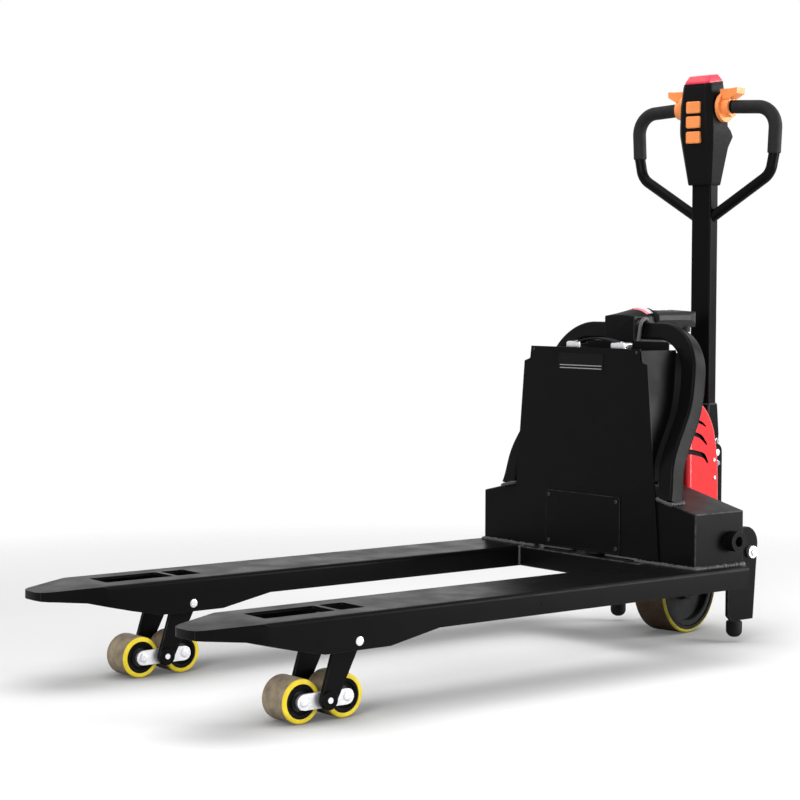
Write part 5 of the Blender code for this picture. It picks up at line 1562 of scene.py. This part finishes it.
@dataclass
class Console:
    """Console on the hoop with its visor, key, cable and blank label places."""

    cable_radius: float = 0.004
    cable: tuple[Point, ...] = (
        (0.1480, -0.0448, 0.6770),
        (0.1480, -0.0500, 0.6770),
        (0.1380, -0.0535, 0.6795),
        (0.1275, -0.0550, 0.6750),
        (0.1215, -0.0560, 0.6640),
        (0.1180, -0.0570, 0.6480),
        (0.1140, -0.0575, 0.6300),
        (0.1060, -0.0580, 0.6045),
    )
    crown_z: float = 0.6455
    crown_radius: float = 0.058
    crown_x: Flat = (0.114, 0.178)
    front_top: float = 0.6875
    half: float = 0.0445
    visor_arch: Flat = (0.6083, 0.0952)
    visor_line: Flat = (0.7015, 0.0693)
    label_y: Flat = (-0.036, 0.016)
    band_x: Flat = (0.1580, 0.1670)
    field_x: tuple[Flat, ...] = ((0.1670, 0.1778), (0.1786, 0.2320))
    label_rise: Flat = (0.0004, 0.0006)
    wedge_base: float = 0.672
    wedge_rise: float = 0.010
    brow_fall: float = 0.0025
    # Side faces of the housing that face sideways more than this take a painted highlight.
    painted_light_cheek_facing: float = 0.7
    gland: tuple[Flat, ...] = (
        (0.0045, 0.0),
        (0.0085, 0.0),
        (0.0085, 0.002),
        (0.0065, 0.0045),
        (0.0045, 0.0045),
    )

    def build(self, bench: Bench) -> None:
        """Makes the housing, visor, key and cable.

        Args:
            bench: Where pieces are made.
        """
        housing = bench.refined("console_housing", "plastic", bevel=0.003, segments=3)
        self.lower_front(housing)
        # Painted highlight: the housing's side faces take the visor's lighter grey, as if lit from the side.
        housing.data.materials.append(bench.palette["visor"])
        for face in housing.data.polygons:
            face.material_index = 1 if abs(face.normal.y) > self.painted_light_cheek_facing else 0
        bench.refined("console_visor", "visor", bevel=0.0024, segments=3)
        bench.refined("key", "zinc", bevel=0.0008)
        section = round_section(self.cable_radius, 24)
        flex = swept(smooth_route(self.cable, 8), (0.3, 0.9, 0.2), section)
        bench.piece("power_cable_moulded", [flex], "cable", "chassis", ["power_cable"])

    def dress(self, bench: Bench) -> None:
        """Adds the cable gland and the blank labels on the console's top.

        Args:
            bench: Where pieces are made.
        """
        gland = turned([(u, -v) for u, v in self.gland], Axis.Y, self.cable[0], steps=32)
        bench.piece("cable_gland", [gland], "rubber", "chassis")
        bench.piece("label_band", [self.label(*self.band_x)], "band", "chassis")
        bench.piece("label_field", [self.label(*ends) for ends in self.field_x], "sticker", "chassis")

    def lower_front(self, housing: bpy.types.Object) -> None:
        """Slopes the housing's crown down to its front edge.

        Args:
            housing: Finished housing.
        """
        front, rear = self.crown_x
        for vertex in housing.data.vertices:
            at = TRUCK.inverted() @ vertex.co
            weight = min(max((at.z - self.wedge_base) / self.wedge_rise, 0.0), 1.0)
            ahead = 1 - min(max((at.x - front) / (rear - front), 0.0), 1.0)
            y = min(abs(at.y), self.half)
            vertex.co.z += weight * ahead * (self.brow(y) - self.crown(y))

    def crown(self, y: float) -> float:
        """Height of the housing's arch.

        Args:
            y: Place across the truck.

        Returns:
            The height.
        """
        return self.crown_z + math.sqrt(self.crown_radius**2 - y**2)

    def brow(self, y: float) -> float:
        """Height of the housing's lowered front edge.

        Args:
            y: Place across the truck.

        Returns:
            The height.
        """
        return self.front_top - self.brow_fall * (y / self.half) ** 2

    def top(self, x: float, y: float) -> float:
        """Height of the console's top, on the sloped housing or on the visor behind it.

        Args:
            x: Place along the truck.
            y: Place across the truck.

        Returns:
            The height.
        """
        front, rear = self.crown_x
        if x < rear:
            share = (x - front) / (rear - front)
            return (1 - share) * self.brow(y) + share * self.crown(y)
        base, radius = self.visor_arch
        level, fall = self.visor_line
        return min(level - fall * (x - rear), base + math.sqrt(radius**2 - y**2))

    def label(self, low: float, high: float) -> bmesh.types.BMesh:
        """Thin blank label that follows the console's top.

        Args:
            low: Front end along X.
            high: Rear end along X.

        Returns:
            The form.
        """
        rings = []
        for i in range(7):
            x = low + (high - low) * i / 6
            line = []
            for j in range(13):
                y = self.label_y[0] + (self.label_y[1] - self.label_y[0]) * j / 12
                line.append((x, y, self.top(x, y)))
            under, over = self.label_rise
            top = [(x, y, z + over) for x, y, z in line]
            rings.append(top + [(x, y, z - under) for x, y, z in reversed(line)])
        return skin(rings)


@dataclass
class LiftGear:
    """Shaft, rods, cylinder, pump and controller under the housing."""

    rod_edge: float = 0.0009
    pump_edge: float = 0.0015
    controller_edge: float = 0.0008

    def build(self, bench: Bench) -> None:
        """Gives the hidden gear its finishes and rounded edges.

        Args:
            bench: Where pieces are made.
        """
        bench.refined("torsion_shaft", "paint", bevel=self.rod_edge)
        bench.refined("pump_unit", "cast", bevel=self.pump_edge)
        bench.refined("controller", "cast", bevel=self.controller_edge)
        for node, finish in {"lift_cylinder": "dark_steel", "lift_rod": "steel"}.items():
            bench.coat(node, finish)
        for side in SIDES:
            bench.refined(f"push_rod_{side}", "dark_steel", bevel=self.rod_edge)


@dataclass
class Carriage:
    """Cheeks, pivot bolts and rubber feet."""

    cheek_middle: float = 0.174
    head_y: float = 0.1868
    bolt: Flat = (0.332, 0.1875)
    foot_x: float = 0.289
    foot_radius: float = 0.017
    foot_bottom: float = 0.010
    foot_top: float = 0.0437
    tip_share: float = 0.85
    chamfer: Flat = (0.0015, 0.002)

    def build(self, bench: Bench) -> None:
        """Makes the frame, the bolts and the feet.

        Args:
            bench: Where pieces are made.
        """
        bench.refined("drive_frame", "paint", bevel=0.0014)
        for side, sign in SIDES.items():
            bench.refined(f"pivot_bolt_{side}", "zinc", bevel=0.0008)
            r = self.foot_radius
            tip = r * self.tip_share
            profile = [(0.0, self.foot_bottom), (r - tip, self.foot_bottom)]
            profile += arc((r - tip, self.foot_bottom + tip), tip, -75, 0, 10)
            across, down = self.chamfer
            profile += [(r, self.foot_top - down), (r - across, self.foot_top), (0.0, self.foot_top)]
            foot = turned(profile, Axis.Z, (self.foot_x, sign * self.cheek_middle, 0.0), steps=48)
            bench.piece(f"foot_{side}_moulded", [foot], "rubber", "carriage", [f"foot_{side}"])

    def dress(self, bench: Bench) -> None:
        """Adds bolt heads on the cheeks.

        Args:
            bench: Where pieces are made.
        """
        spots = [((self.bolt[0], s * self.head_y, self.bolt[1]), (0, s, 0)) for s in SIDES.values()]
        bench.scatter("pivot_bolt_heads", spots, hex_bolt(radius=0.0085, height=0.0045), "zinc", "carriage")


@dataclass
class DriveUnit:
    """Drive wheel, yoke, motor, red hood and tiller clevis."""

    wheel_radius: float = 0.100
    wheel_half: float = 0.040
    hub_radius: float = 0.086
    gap: float = 0.0003
    hood_half: float = 0.090
    hood_edge: float = 0.014
    hood_points: tuple[Flat, ...] = (
        (0.036, 0.300),
        (0.033, 0.374),
        (0.023, 0.424),
        (0.013, 0.453),
        (-0.008, 0.482),
        (-0.030, 0.500),
        (-0.050, 0.508),
        (-0.066, 0.500),
        (-0.079, 0.477),
        (-0.085, 0.440),
    )
    hood_bottom: float = 0.2693
    slots: tuple[tuple[float, tuple[Flat, ...]], ...] = (
        (0.0065, ((-0.085, 0.4720), (-0.0515, 0.4628), (-0.034, 0.4570), (-0.0205, 0.4500))),
        (
            0.0090,
            ((-0.085, 0.4400), (-0.0515, 0.4333), (-0.036, 0.4270), (-0.0265, 0.4200), (-0.0167, 0.4110)),
        ),
        (
            0.0105,
            ((-0.085, 0.3995), (-0.0600, 0.3960), (-0.030, 0.3890), (-0.0200, 0.3815), (-0.0125, 0.3718)),
        ),
    )
    slot_taper: float = 0.45
    slot_depth: float = 0.006
    pin_half: float = 0.0425
    pin_tip: tuple[Flat, ...] = ((0.0, 0.0), (0.0055, 0.0), (0.0075, 0.0012), (0.008, 0.0025))
    tilt: Flat = (0.098, 0.385)
    tyre_edge: float = 0.007
    clean_share: float = 0.6
    hood_screws: tuple[Flat, ...] = ((0.0110, 0.377), (0.0135, 0.339), (-0.070, 0.300))
    screw_sink: float = 0.0002
    hub_profile: tuple[Flat, ...] = (
        (0.0113, 0.038),
        (0.026, 0.038),
        (0.028, 0.036),
        (0.029, 0.022),
        (0.032, 0.020),
        (0.070, 0.020),
        (0.073, 0.022),
        (0.074, 0.036),
        (0.076, 0.038),
        (0.084, 0.038),
        (0.086, 0.036),
    )

    def build(self, bench: Bench) -> None:
        """Makes the unit.

        Args:
            bench: Where pieces are made.
        """
        bench.refined("drive_yoke", "paint", bevel=0.0014)
        bench.refined("tiller_base", "paint", bevel=0.0014)
        bench.coat("drive_motor", "dark_steel")
        self.wheel(bench)
        self.hood(bench)
        whole = mirrored([(u, self.pin_half - v) for u, v in self.pin_tip])
        pin = turned(whole, Axis.Y, (self.tilt[0], 0.0, self.tilt[1]), steps=32)
        bench.piece("tilt_pin_turned", [pin], "zinc", "drive", ["tilt_pin"], STEERED)

    def wheel(self, bench: Bench) -> None:
        """Makes the tyre and the hub.

        Args:
            bench: Where pieces are made.
        """
        centre = (0.0, 0.0, self.wheel_radius)
        edge = self.tyre_edge
        outline = tyre_outline(self.wheel_radius, self.wheel_half, self.hub_radius + self.gap, edge)

        def paint(at: Vector) -> int:
            """Chooses the tread, its clean rim or the dark flank.

            Args:
                at: Middle of a face.

            Returns:
                Number of the finish.
            """
            if math.hypot(at.x, at.z - self.wheel_radius) < self.wheel_radius - edge:
                return 2
            return 1 if abs(at.y) > self.wheel_half - edge * self.clean_share else 0

        tyre = turned(outline, Axis.Y, centre, steps=128)
        finishes = ("drive_tread", "drive_edge", "rubber")
        bench.piece("drive_tyre_cast", [tyre], finishes, "drive_wheel", ["drive_tyre"], STEERED, paint=paint)
        hub = turned(mirrored(self.hub_profile), Axis.Y, centre, steps=128)
        bench.piece("drive_hub_turned", [hub], "rubber", "drive_wheel", ["drive_hub"], STEERED)

    def hood(self, bench: Bench) -> None:
        """Makes the domed hood with its vents.

        Args:
            bench: Where pieces are made.
        """
        crown = smooth_route([(u, v, 0.0) for u, v in self.hood_points], 6)
        left, right = self.hood_points[-1][0], self.hood_points[0][0]
        outline = [(left, self.hood_bottom), (right, self.hood_bottom), *[(p.x, p.y) for p in crown]]
        middle = (left + right) / 2
        top = max(v for _, v in outline)
        full = self.hood_half - self.hood_edge
        angles = [math.radians(9 * i) for i in range(11)]
        stations = [(full + self.hood_edge * math.sin(a), self.hood_edge * (1 - math.cos(a))) for a in angles]
        rings = []
        for y, step in [*[(-y, s) for y, s in reversed(stations)], *stations]:
            across = 1 - 2 * step / (right - left)
            upwards = 1 - step / (top - self.hood_bottom)
            ring = []
            for u, v in outline:
                z = self.hood_bottom + (v - self.hood_bottom) * upwards
                ring.append((middle + (u - middle) * across, y, z))
            rings.append(ring)
        shell = skin(rings)
        mesh = bpy.data.meshes.new("motor_hood_moulded")
        shell.to_mesh(mesh)
        shell.free()
        mesh.materials.append(bench.palette["red"])
        mesh.materials.append(bench.palette["plastic"])
        shape = bench.link("motor_hood_moulded", mesh)
        tools = []
        for height, points in self.slots:
            route = smooth_route([(u, v, 0.0) for u, v in points], 5)
            below, above = [], []
            for i, p in enumerate(route):
                heading = (route[min(i + 1, len(route) - 1)] - route[max(i - 1, 0)]).normalized()
                share = max(0.0, 2 * i / (len(route) - 1) - 1)
                across = Vector((-heading.y, heading.x)) * (height / 2 * (1 - (1 - self.slot_taper) * share))
                below.append(p.to_2d() - across)
                above.append(p.to_2d() + across)
            corners = below + above[::-1]
            for sign in SIDES.values():
                inner = sign * (self.hood_half - self.slot_depth)
                form = prism([tuple(p) for p in corners], Axis.Y, inner, sign * 2 * self.hood_half)
                cutter = bpy.data.meshes.new("vent")
                form.to_mesh(cutter)
                form.free()
                # Painted shade: the vents' walls and floors take the black plastic, for the dark inside of
                # the hood.
                cutter.materials.append(bench.palette["plastic"])
                tools.append(bench.link("vent", cutter))
        for tool in tools:
            cut = shape.modifiers.new("vent", "BOOLEAN")
            cut.operation = "DIFFERENCE"
            cut.solver = "EXACT"
            cut.material_mode = "TRANSFER"
            cut.object = tool
        bench.settled(shape)
        for tool in tools:
            bpy.data.objects.remove(tool)
        shape.data.transform(STEERED)
        bench.hang(bench.shaded(shape, sharp=50.0), "drive", ["motor_hood"])

    def dress(self, bench: Bench) -> None:
        """Adds the screws of the hood.

        Args:
            bench: Where pieces are made.
        """
        spots = []
        for sign in SIDES.values():
            for u, v in self.hood_screws:
                spots.append(((u, sign * (self.hood_half - self.screw_sink), v), (0, sign, 0)))
        bench.scatter("hood_screws", spots, cap_screw(radius=0.0042, height=0.002), "zinc", "drive", STEERED)


@dataclass
class Tiller:
    """Tiller root, tube, loops and grips, about the steering axis."""

    root: tuple[Flat, ...] = (
        (0.0815, 0.4935),
        (0.0790, 0.4870),
        (0.0740, 0.4250),
        (0.0840, 0.3650),
        (0.1180, 0.3650),
        (0.1215, 0.4250),
        (0.1150, 0.4870),
        (0.1135, 0.4935),
    )
    root_half: float = 0.0285
    ear_half: float = 0.039
    tube_x: float = 0.0975
    tube_depth: float = 0.030
    tube_half: float = 0.025
    tube_z: Flat = (0.480, 0.9677)
    loop_radius: float = 0.0118
    loop: tuple[Flat, Flat, Flat] = ((0.1763, 1.0370), (0.1665, 0.9880), (0.0150, 0.8957))
    loop_bend: float = 0.042
    grip_radius: float = 0.0145
    grip: tuple[Flat, Flat, Flat] = ((0.0714, 1.1350), (0.1797, 1.1290), (0.1749, 1.0303))
    grip_bend: float = 0.045
    root_bolt: Flat = (0.111, 0.409)
    ear_bolt: Flat = (0.100, 0.362)
    weld_radius: float = 0.0026
    weld_lift: float = 0.0012
    weld_stretch: float = 1.15

    def route(self, sign: int, points: tuple[Flat, Flat, Flat], bend: float) -> list[Vector]:
        """Middle line of a loop or grip on one side.

        Args:
            sign: Side, -1 or 1.
            points: Start, corner and end.
            bend: Bend radius.

        Returns:
            The points in order.
        """
        return [Vector((self.tube_x, sign * p.x, p.y)) for p in bent(*points, bend, 20)]

    def build(self, bench: Bench) -> None:
        """Makes the frame and the grips.

        Args:
            bench: Where pieces are made.
        """
        root = prism(self.root, Axis.Y, -self.root_half, self.root_half)
        bench.rounded_edges(root, width=0.004, segments=3, angle=20.0)
        low = (self.tube_x - self.tube_depth / 2, -self.tube_half)
        high = (self.tube_x + self.tube_depth / 2, self.tube_half)
        tube = prism(rounded(low, high, radius=0.004), Axis.Z, *self.tube_z)
        ring = round_section(self.loop_radius, 32)
        forms = [root, tube]
        for sign in SIDES.values():
            forms.append(swept(self.route(sign, self.loop, self.loop_bend), (1, 0, 0), ring))
        bench.piece("tiller_frame_welded", forms, "paint", "tiller", ["tiller_frame"], STEERED)
        sleeve = round_section(self.grip_radius, 32)
        for side, sign in SIDES.items():
            form = swept(self.route(sign, self.grip, self.grip_bend), (1, 0, 0), sleeve, ends=0.004)
            bench.piece(f"grip_{side}_foam", [form], "grip", "tiller", [f"grip_{side}"], STEERED)

    def dress(self, bench: Bench) -> None:
        """Adds the bolts of the root and the welds of the loops.

        Args:
            bench: Where pieces are made.
        """
        x, z = self.root_bolt
        spots = [((x, sign * self.root_half, z), (0, sign, 0)) for sign in SIDES.values()]
        bench.scatter("root_bolts", spots, hex_bolt(radius=0.0050, height=0.004), "steel", "tiller", STEERED)
        x, z = self.ear_bolt
        spots = [((x, sign * self.ear_half, z), (0, sign, 0)) for sign in SIDES.values()]
        bench.scatter("ear_bolts", spots, hex_bolt(radius=0.0050, height=0.004), "steel", "drive", STEERED)
        lines = []
        for sign in SIDES.values():
            end = self.route(sign, self.loop, self.loop_bend)
            heading = (end[-1] - end[-2]).normalized()
            at = end[-1] - heading * ((abs(end[-1].y) - self.tube_half) / abs(heading.y))
            line = []
            for angle in (math.radians(20 * i) for i in range(19)):
                x = at.x + self.loop_radius * math.cos(angle)
                z = at.z + self.loop_radius * self.weld_stretch * math.sin(angle)
                line.append((x, at.y + sign * self.weld_lift, z))
            lines.append(line)
        bench.weld("loop_welds", lines, self.weld_radius, "weld", "tiller", seed=5, place=STEERED)


@dataclass
class ControlHead:
    """Control head with its buttons, paddles and belly button."""

    button_half: float = 0.0180
    button_half_height: float = 0.0128
    button_heights: dict[str, float] = field(
        default_factory=lambda: {"upper": 1.1344, "middle": 1.1026, "lower": 1.0698}
    )
    button_x: Flat = (0.0468, 0.0552)
    head_front: float = 0.0540
    head_top: float = 1.1805
    head_slope: float = 0.15
    rim_outer: tuple[Flat, Flat] = ((0.0545, -0.0358), (0.1204, 0.0358))
    rim_inner: tuple[Flat, Flat] = ((0.0556, -0.0329), (0.1194, 0.0329))
    rim_z: Flat = (-0.0004, 0.0042)
    rim_corners: Flat = (0.0155, 0.0105)
    button_corner: float = 0.0042
    button_edge: float = 0.0026

    def rim(self) -> bmesh.types.BMesh:
        """Low rim on the head round the foot of the red button.

        Returns:
            The form.
        """
        low, high = self.rim_z
        outer = rounded(*self.rim_outer, self.rim_corners[0])
        inner = rounded(*self.rim_inner, self.rim_corners[1])
        form = bmesh.new()
        loops = []
        for outline, rise in ((outer, low), (outer, high), (inner, high), (inner, low)):
            loop = []
            for x, y in outline:
                z = self.head_top + self.head_slope * (x - self.head_front) + rise
                loop.append(form.verts.new((x, y, z)))
            loops.append(loop)
        for first, second in zip(loops, loops[1:] + loops[:1]):
            for i, vertex in enumerate(first):
                form.faces.new((first[i - 1], vertex, second[i], second[i - 1]))
        bmesh.ops.recalc_face_normals(form, faces=form.faces)
        return form

    def build(self, bench: Bench) -> None:
        """Makes the head and its controls.

        Args:
            bench: Where pieces are made.
        """
        bench.refined("head_housing", "plastic", bevel=0.0016, segments=3)
        bench.refined("belly_button", "belly", bevel=0.0018, segments=3)
        bench.piece("button_rim", [self.rim()], "plastic", "tiller", place=STEERED)
        for side in SIDES:
            bench.refined(f"throttle_{side}", "orange", bevel=0.002, segments=3)
        for name, height in self.button_heights.items():
            low = (-self.button_half, height - self.button_half_height)
            high = (self.button_half, height + self.button_half_height)
            foot, face = self.button_x[1], self.button_x[0]
            form = pillow(low, high, self.button_corner, Axis.X, foot, face, self.button_edge)
            body = f"switch_{name}"
            bench.piece(f"button_{name}_moulded", [form], "orange", body, [f"button_{name}"], STEERED)


@dataclass
class Studio:
    """Floor, light and camera, with angles in degrees and lens and sensor in millimetres."""

    yaw: float = 38.165
    pitch: float = 3.098
    roll: float = 0.186
    lens: float = 91.72
    sensor: float = 36.0
    eye: Point = (-2.558687, -3.0923, 0.7385)
    floor_radius: float = 6.0
    floor_drop: float = 0.0006
    fade: Flat = (1.2, 2.4)
    # Reach of the painted shade that darkens the floor near the truck.
    painted_shade_reach: float = 0.2
    floor_glow: float = 0.1
    ambient: float = 0.2
    # Name, place, target, width and watts of each soft box.
    lamps: tuple[tuple[str, Point, Point, float, float], ...] = (
        ("key", (2.55, -2.65, 0.76), (0.1, 0.0, 0.45), 1.4, 108.0),
        ("side", (3.0, -1.3, 1.7), (0.4, -0.1, 0.4), 1.3, 45.0),
        ("fill", (-3.1, -1.7, 1.7), (0.1, 0.0, 0.5), 1.5, 85.0),
        ("top", (-0.2, 0.3, 3.2), (0.0, 0.0, 0.3), 2.5, 60.0),
    )

    def floor(self) -> None:
        """Makes the pale floor, which fades into the background, with a painted shade near the truck."""
        bm = bmesh.new()
        bmesh.ops.create_circle(bm, cap_ends=True, segments=96, radius=self.floor_radius)
        mesh = bpy.data.meshes.new("floor")
        bm.to_mesh(mesh)
        bm.free()
        shape = bpy.data.objects.new("floor", mesh)
        shape.location.z = -self.floor_drop
        bpy.context.scene.collection.objects.link(shape)
        graph = Graph("pale_studio_floor")
        # Painted shade: the floor darkens towards #303030 where parts of the truck are near.
        painted_shade_occlusion = graph.add("ShaderNodeAmbientOcclusion", {"Distance": self.painted_shade_reach})
        painted_shade_colour = graph.mix(painted_shade_occlusion.outputs["AO"], linear("#303030"), linear("#f6f6f6"))
        graph.set(Base_Color=painted_shade_colour, Roughness=0.9, Specular_IOR_Level=0.0)
        path = graph.add("ShaderNodeLightPath")
        lift = graph.add("ShaderNodeEmission", {"Color": (1.0, 1.0, 1.0, 1.0), "Strength": 1.0})
        seen = {0: path.outputs["Is Camera Ray"], 1: self.floor_glow}
        share = graph.add("ShaderNodeMath", seen, operation="MULTIPLY")
        layers = {0: share.outputs[0], 1: graph.shader.outputs[0], 2: lift.outputs[0]}
        blend = graph.add("ShaderNodeMixShader", layers)
        place = graph.add("ShaderNodeTexCoord")
        reach = graph.add("ShaderNodeVectorMath", {0: place.outputs["Object"]}, operation="LENGTH")
        fade = graph.span(reach.outputs["Value"], 0.0, 1.0, *self.fade)
        clear = graph.add("ShaderNodeBsdfTransparent")
        soft = graph.add("ShaderNodeMixShader", {0: fade, 1: blend.outputs[0], 2: clear.outputs[0]})
        graph.feed(graph.output.inputs["Surface"], soft.outputs[0])
        mesh.materials.append(graph.material)

    def world(self) -> None:
        """Makes the soft surrounding light and the white background."""
        world = bpy.data.worlds.new("studio")
        bpy.context.scene.world = world
        world.use_nodes = True
        tree = world.node_tree
        back = tree.nodes["Background"]
        back.inputs["Color"].default_value = (1.0, 1.0, 1.0, 1.0)
        path = tree.nodes.new("ShaderNodeLightPath")
        first = tree.nodes.new("ShaderNodeMath")
        first.operation = "MAXIMUM"
        second = tree.nodes.new("ShaderNodeMath")
        second.operation = "MAXIMUM"
        tree.links.new(path.outputs["Is Camera Ray"], first.inputs[0])
        tree.links.new(path.outputs["Is Glossy Ray"], first.inputs[1])
        tree.links.new(first.outputs[0], second.inputs[0])
        tree.links.new(path.outputs["Is Transmission Ray"], second.inputs[1])
        span = tree.nodes.new("ShaderNodeMapRange")
        span.inputs["To Min"].default_value = self.ambient
        span.inputs["To Max"].default_value = 1.0
        tree.links.new(second.outputs[0], span.inputs["Value"])
        tree.links.new(span.outputs["Result"], back.inputs["Strength"])

    def lamp(self, name: str, at: Point, towards: Point, size: float, power: float) -> None:
        """Adds one soft box.

        Args:
            name: Name of the lamp.
            at: Its place.
            towards: Point it shines at.
            size: Width of the soft box.
            power: Power in watts.
        """
        data = bpy.data.lights.new(name, "AREA")
        data.shape = "SQUARE"
        data.size = size
        data.energy = power
        lamp = bpy.data.objects.new(name, data)
        lamp.location = at
        lamp.rotation_euler = (Vector(towards) - Vector(at)).to_track_quat("-Z", "Y").to_euler()
        bpy.context.scene.collection.objects.link(lamp)

    def camera(self) -> None:
        """Sets the camera up at the photograph's place."""
        yaw, pitch, roll = (math.radians(v) for v in (self.yaw, self.pitch, self.roll))
        ahead = Vector((math.sin(yaw) * math.cos(pitch), math.cos(yaw) * math.cos(pitch), -math.sin(pitch)))
        right = Vector((math.cos(yaw), -math.sin(yaw), 0.0))
        up = right.cross(ahead)
        across = right * math.cos(roll) + up * math.sin(roll)
        rise = up * math.cos(roll) - right * math.sin(roll)
        turn = Matrix((across, rise, -ahead)).transposed().to_4x4()
        data = bpy.data.cameras.new("camera")
        data.sensor_fit = "HORIZONTAL"
        data.sensor_width = self.sensor
        data.lens = self.lens
        camera = bpy.data.objects.new("camera", data)
        camera.matrix_world = Matrix.Translation(self.eye) @ turn
        bpy.context.scene.collection.objects.link(camera)
        bpy.context.scene.camera = camera

    def build(self) -> None:
        """Builds the whole studio."""
        self.floor()
        self.world()
        for lamp in self.lamps:
            self.lamp(*lamp)
        self.camera()
        bpy.context.scene.view_settings.view_transform = "Standard"


def main() -> None:
    """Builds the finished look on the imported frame."""
    logging.basicConfig(level=logging.INFO)
    for shape in list(bpy.data.objects):
        bpy.data.objects.remove(shape)
    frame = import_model()
    bench = Bench(frame["nodes"], Palette())
    kinds = (
        ForkFrame,
        LoadEnd,
        Housing,
        BatteryBay,
        Console,
        LiftGear,
        Carriage,
        DriveUnit,
        Tiller,
        ControlHead,
    )
    for kind in kinds:
        group = kind()
        group.build(bench)
        if hasattr(group, "dress"):
            group.dress(bench)
        for name in bench.finished:
            LOG.info("%s: %s", kind.__name__, name)
        bench.finished.clear()
    Studio().build()


if __name__ == "__main__":
    main()
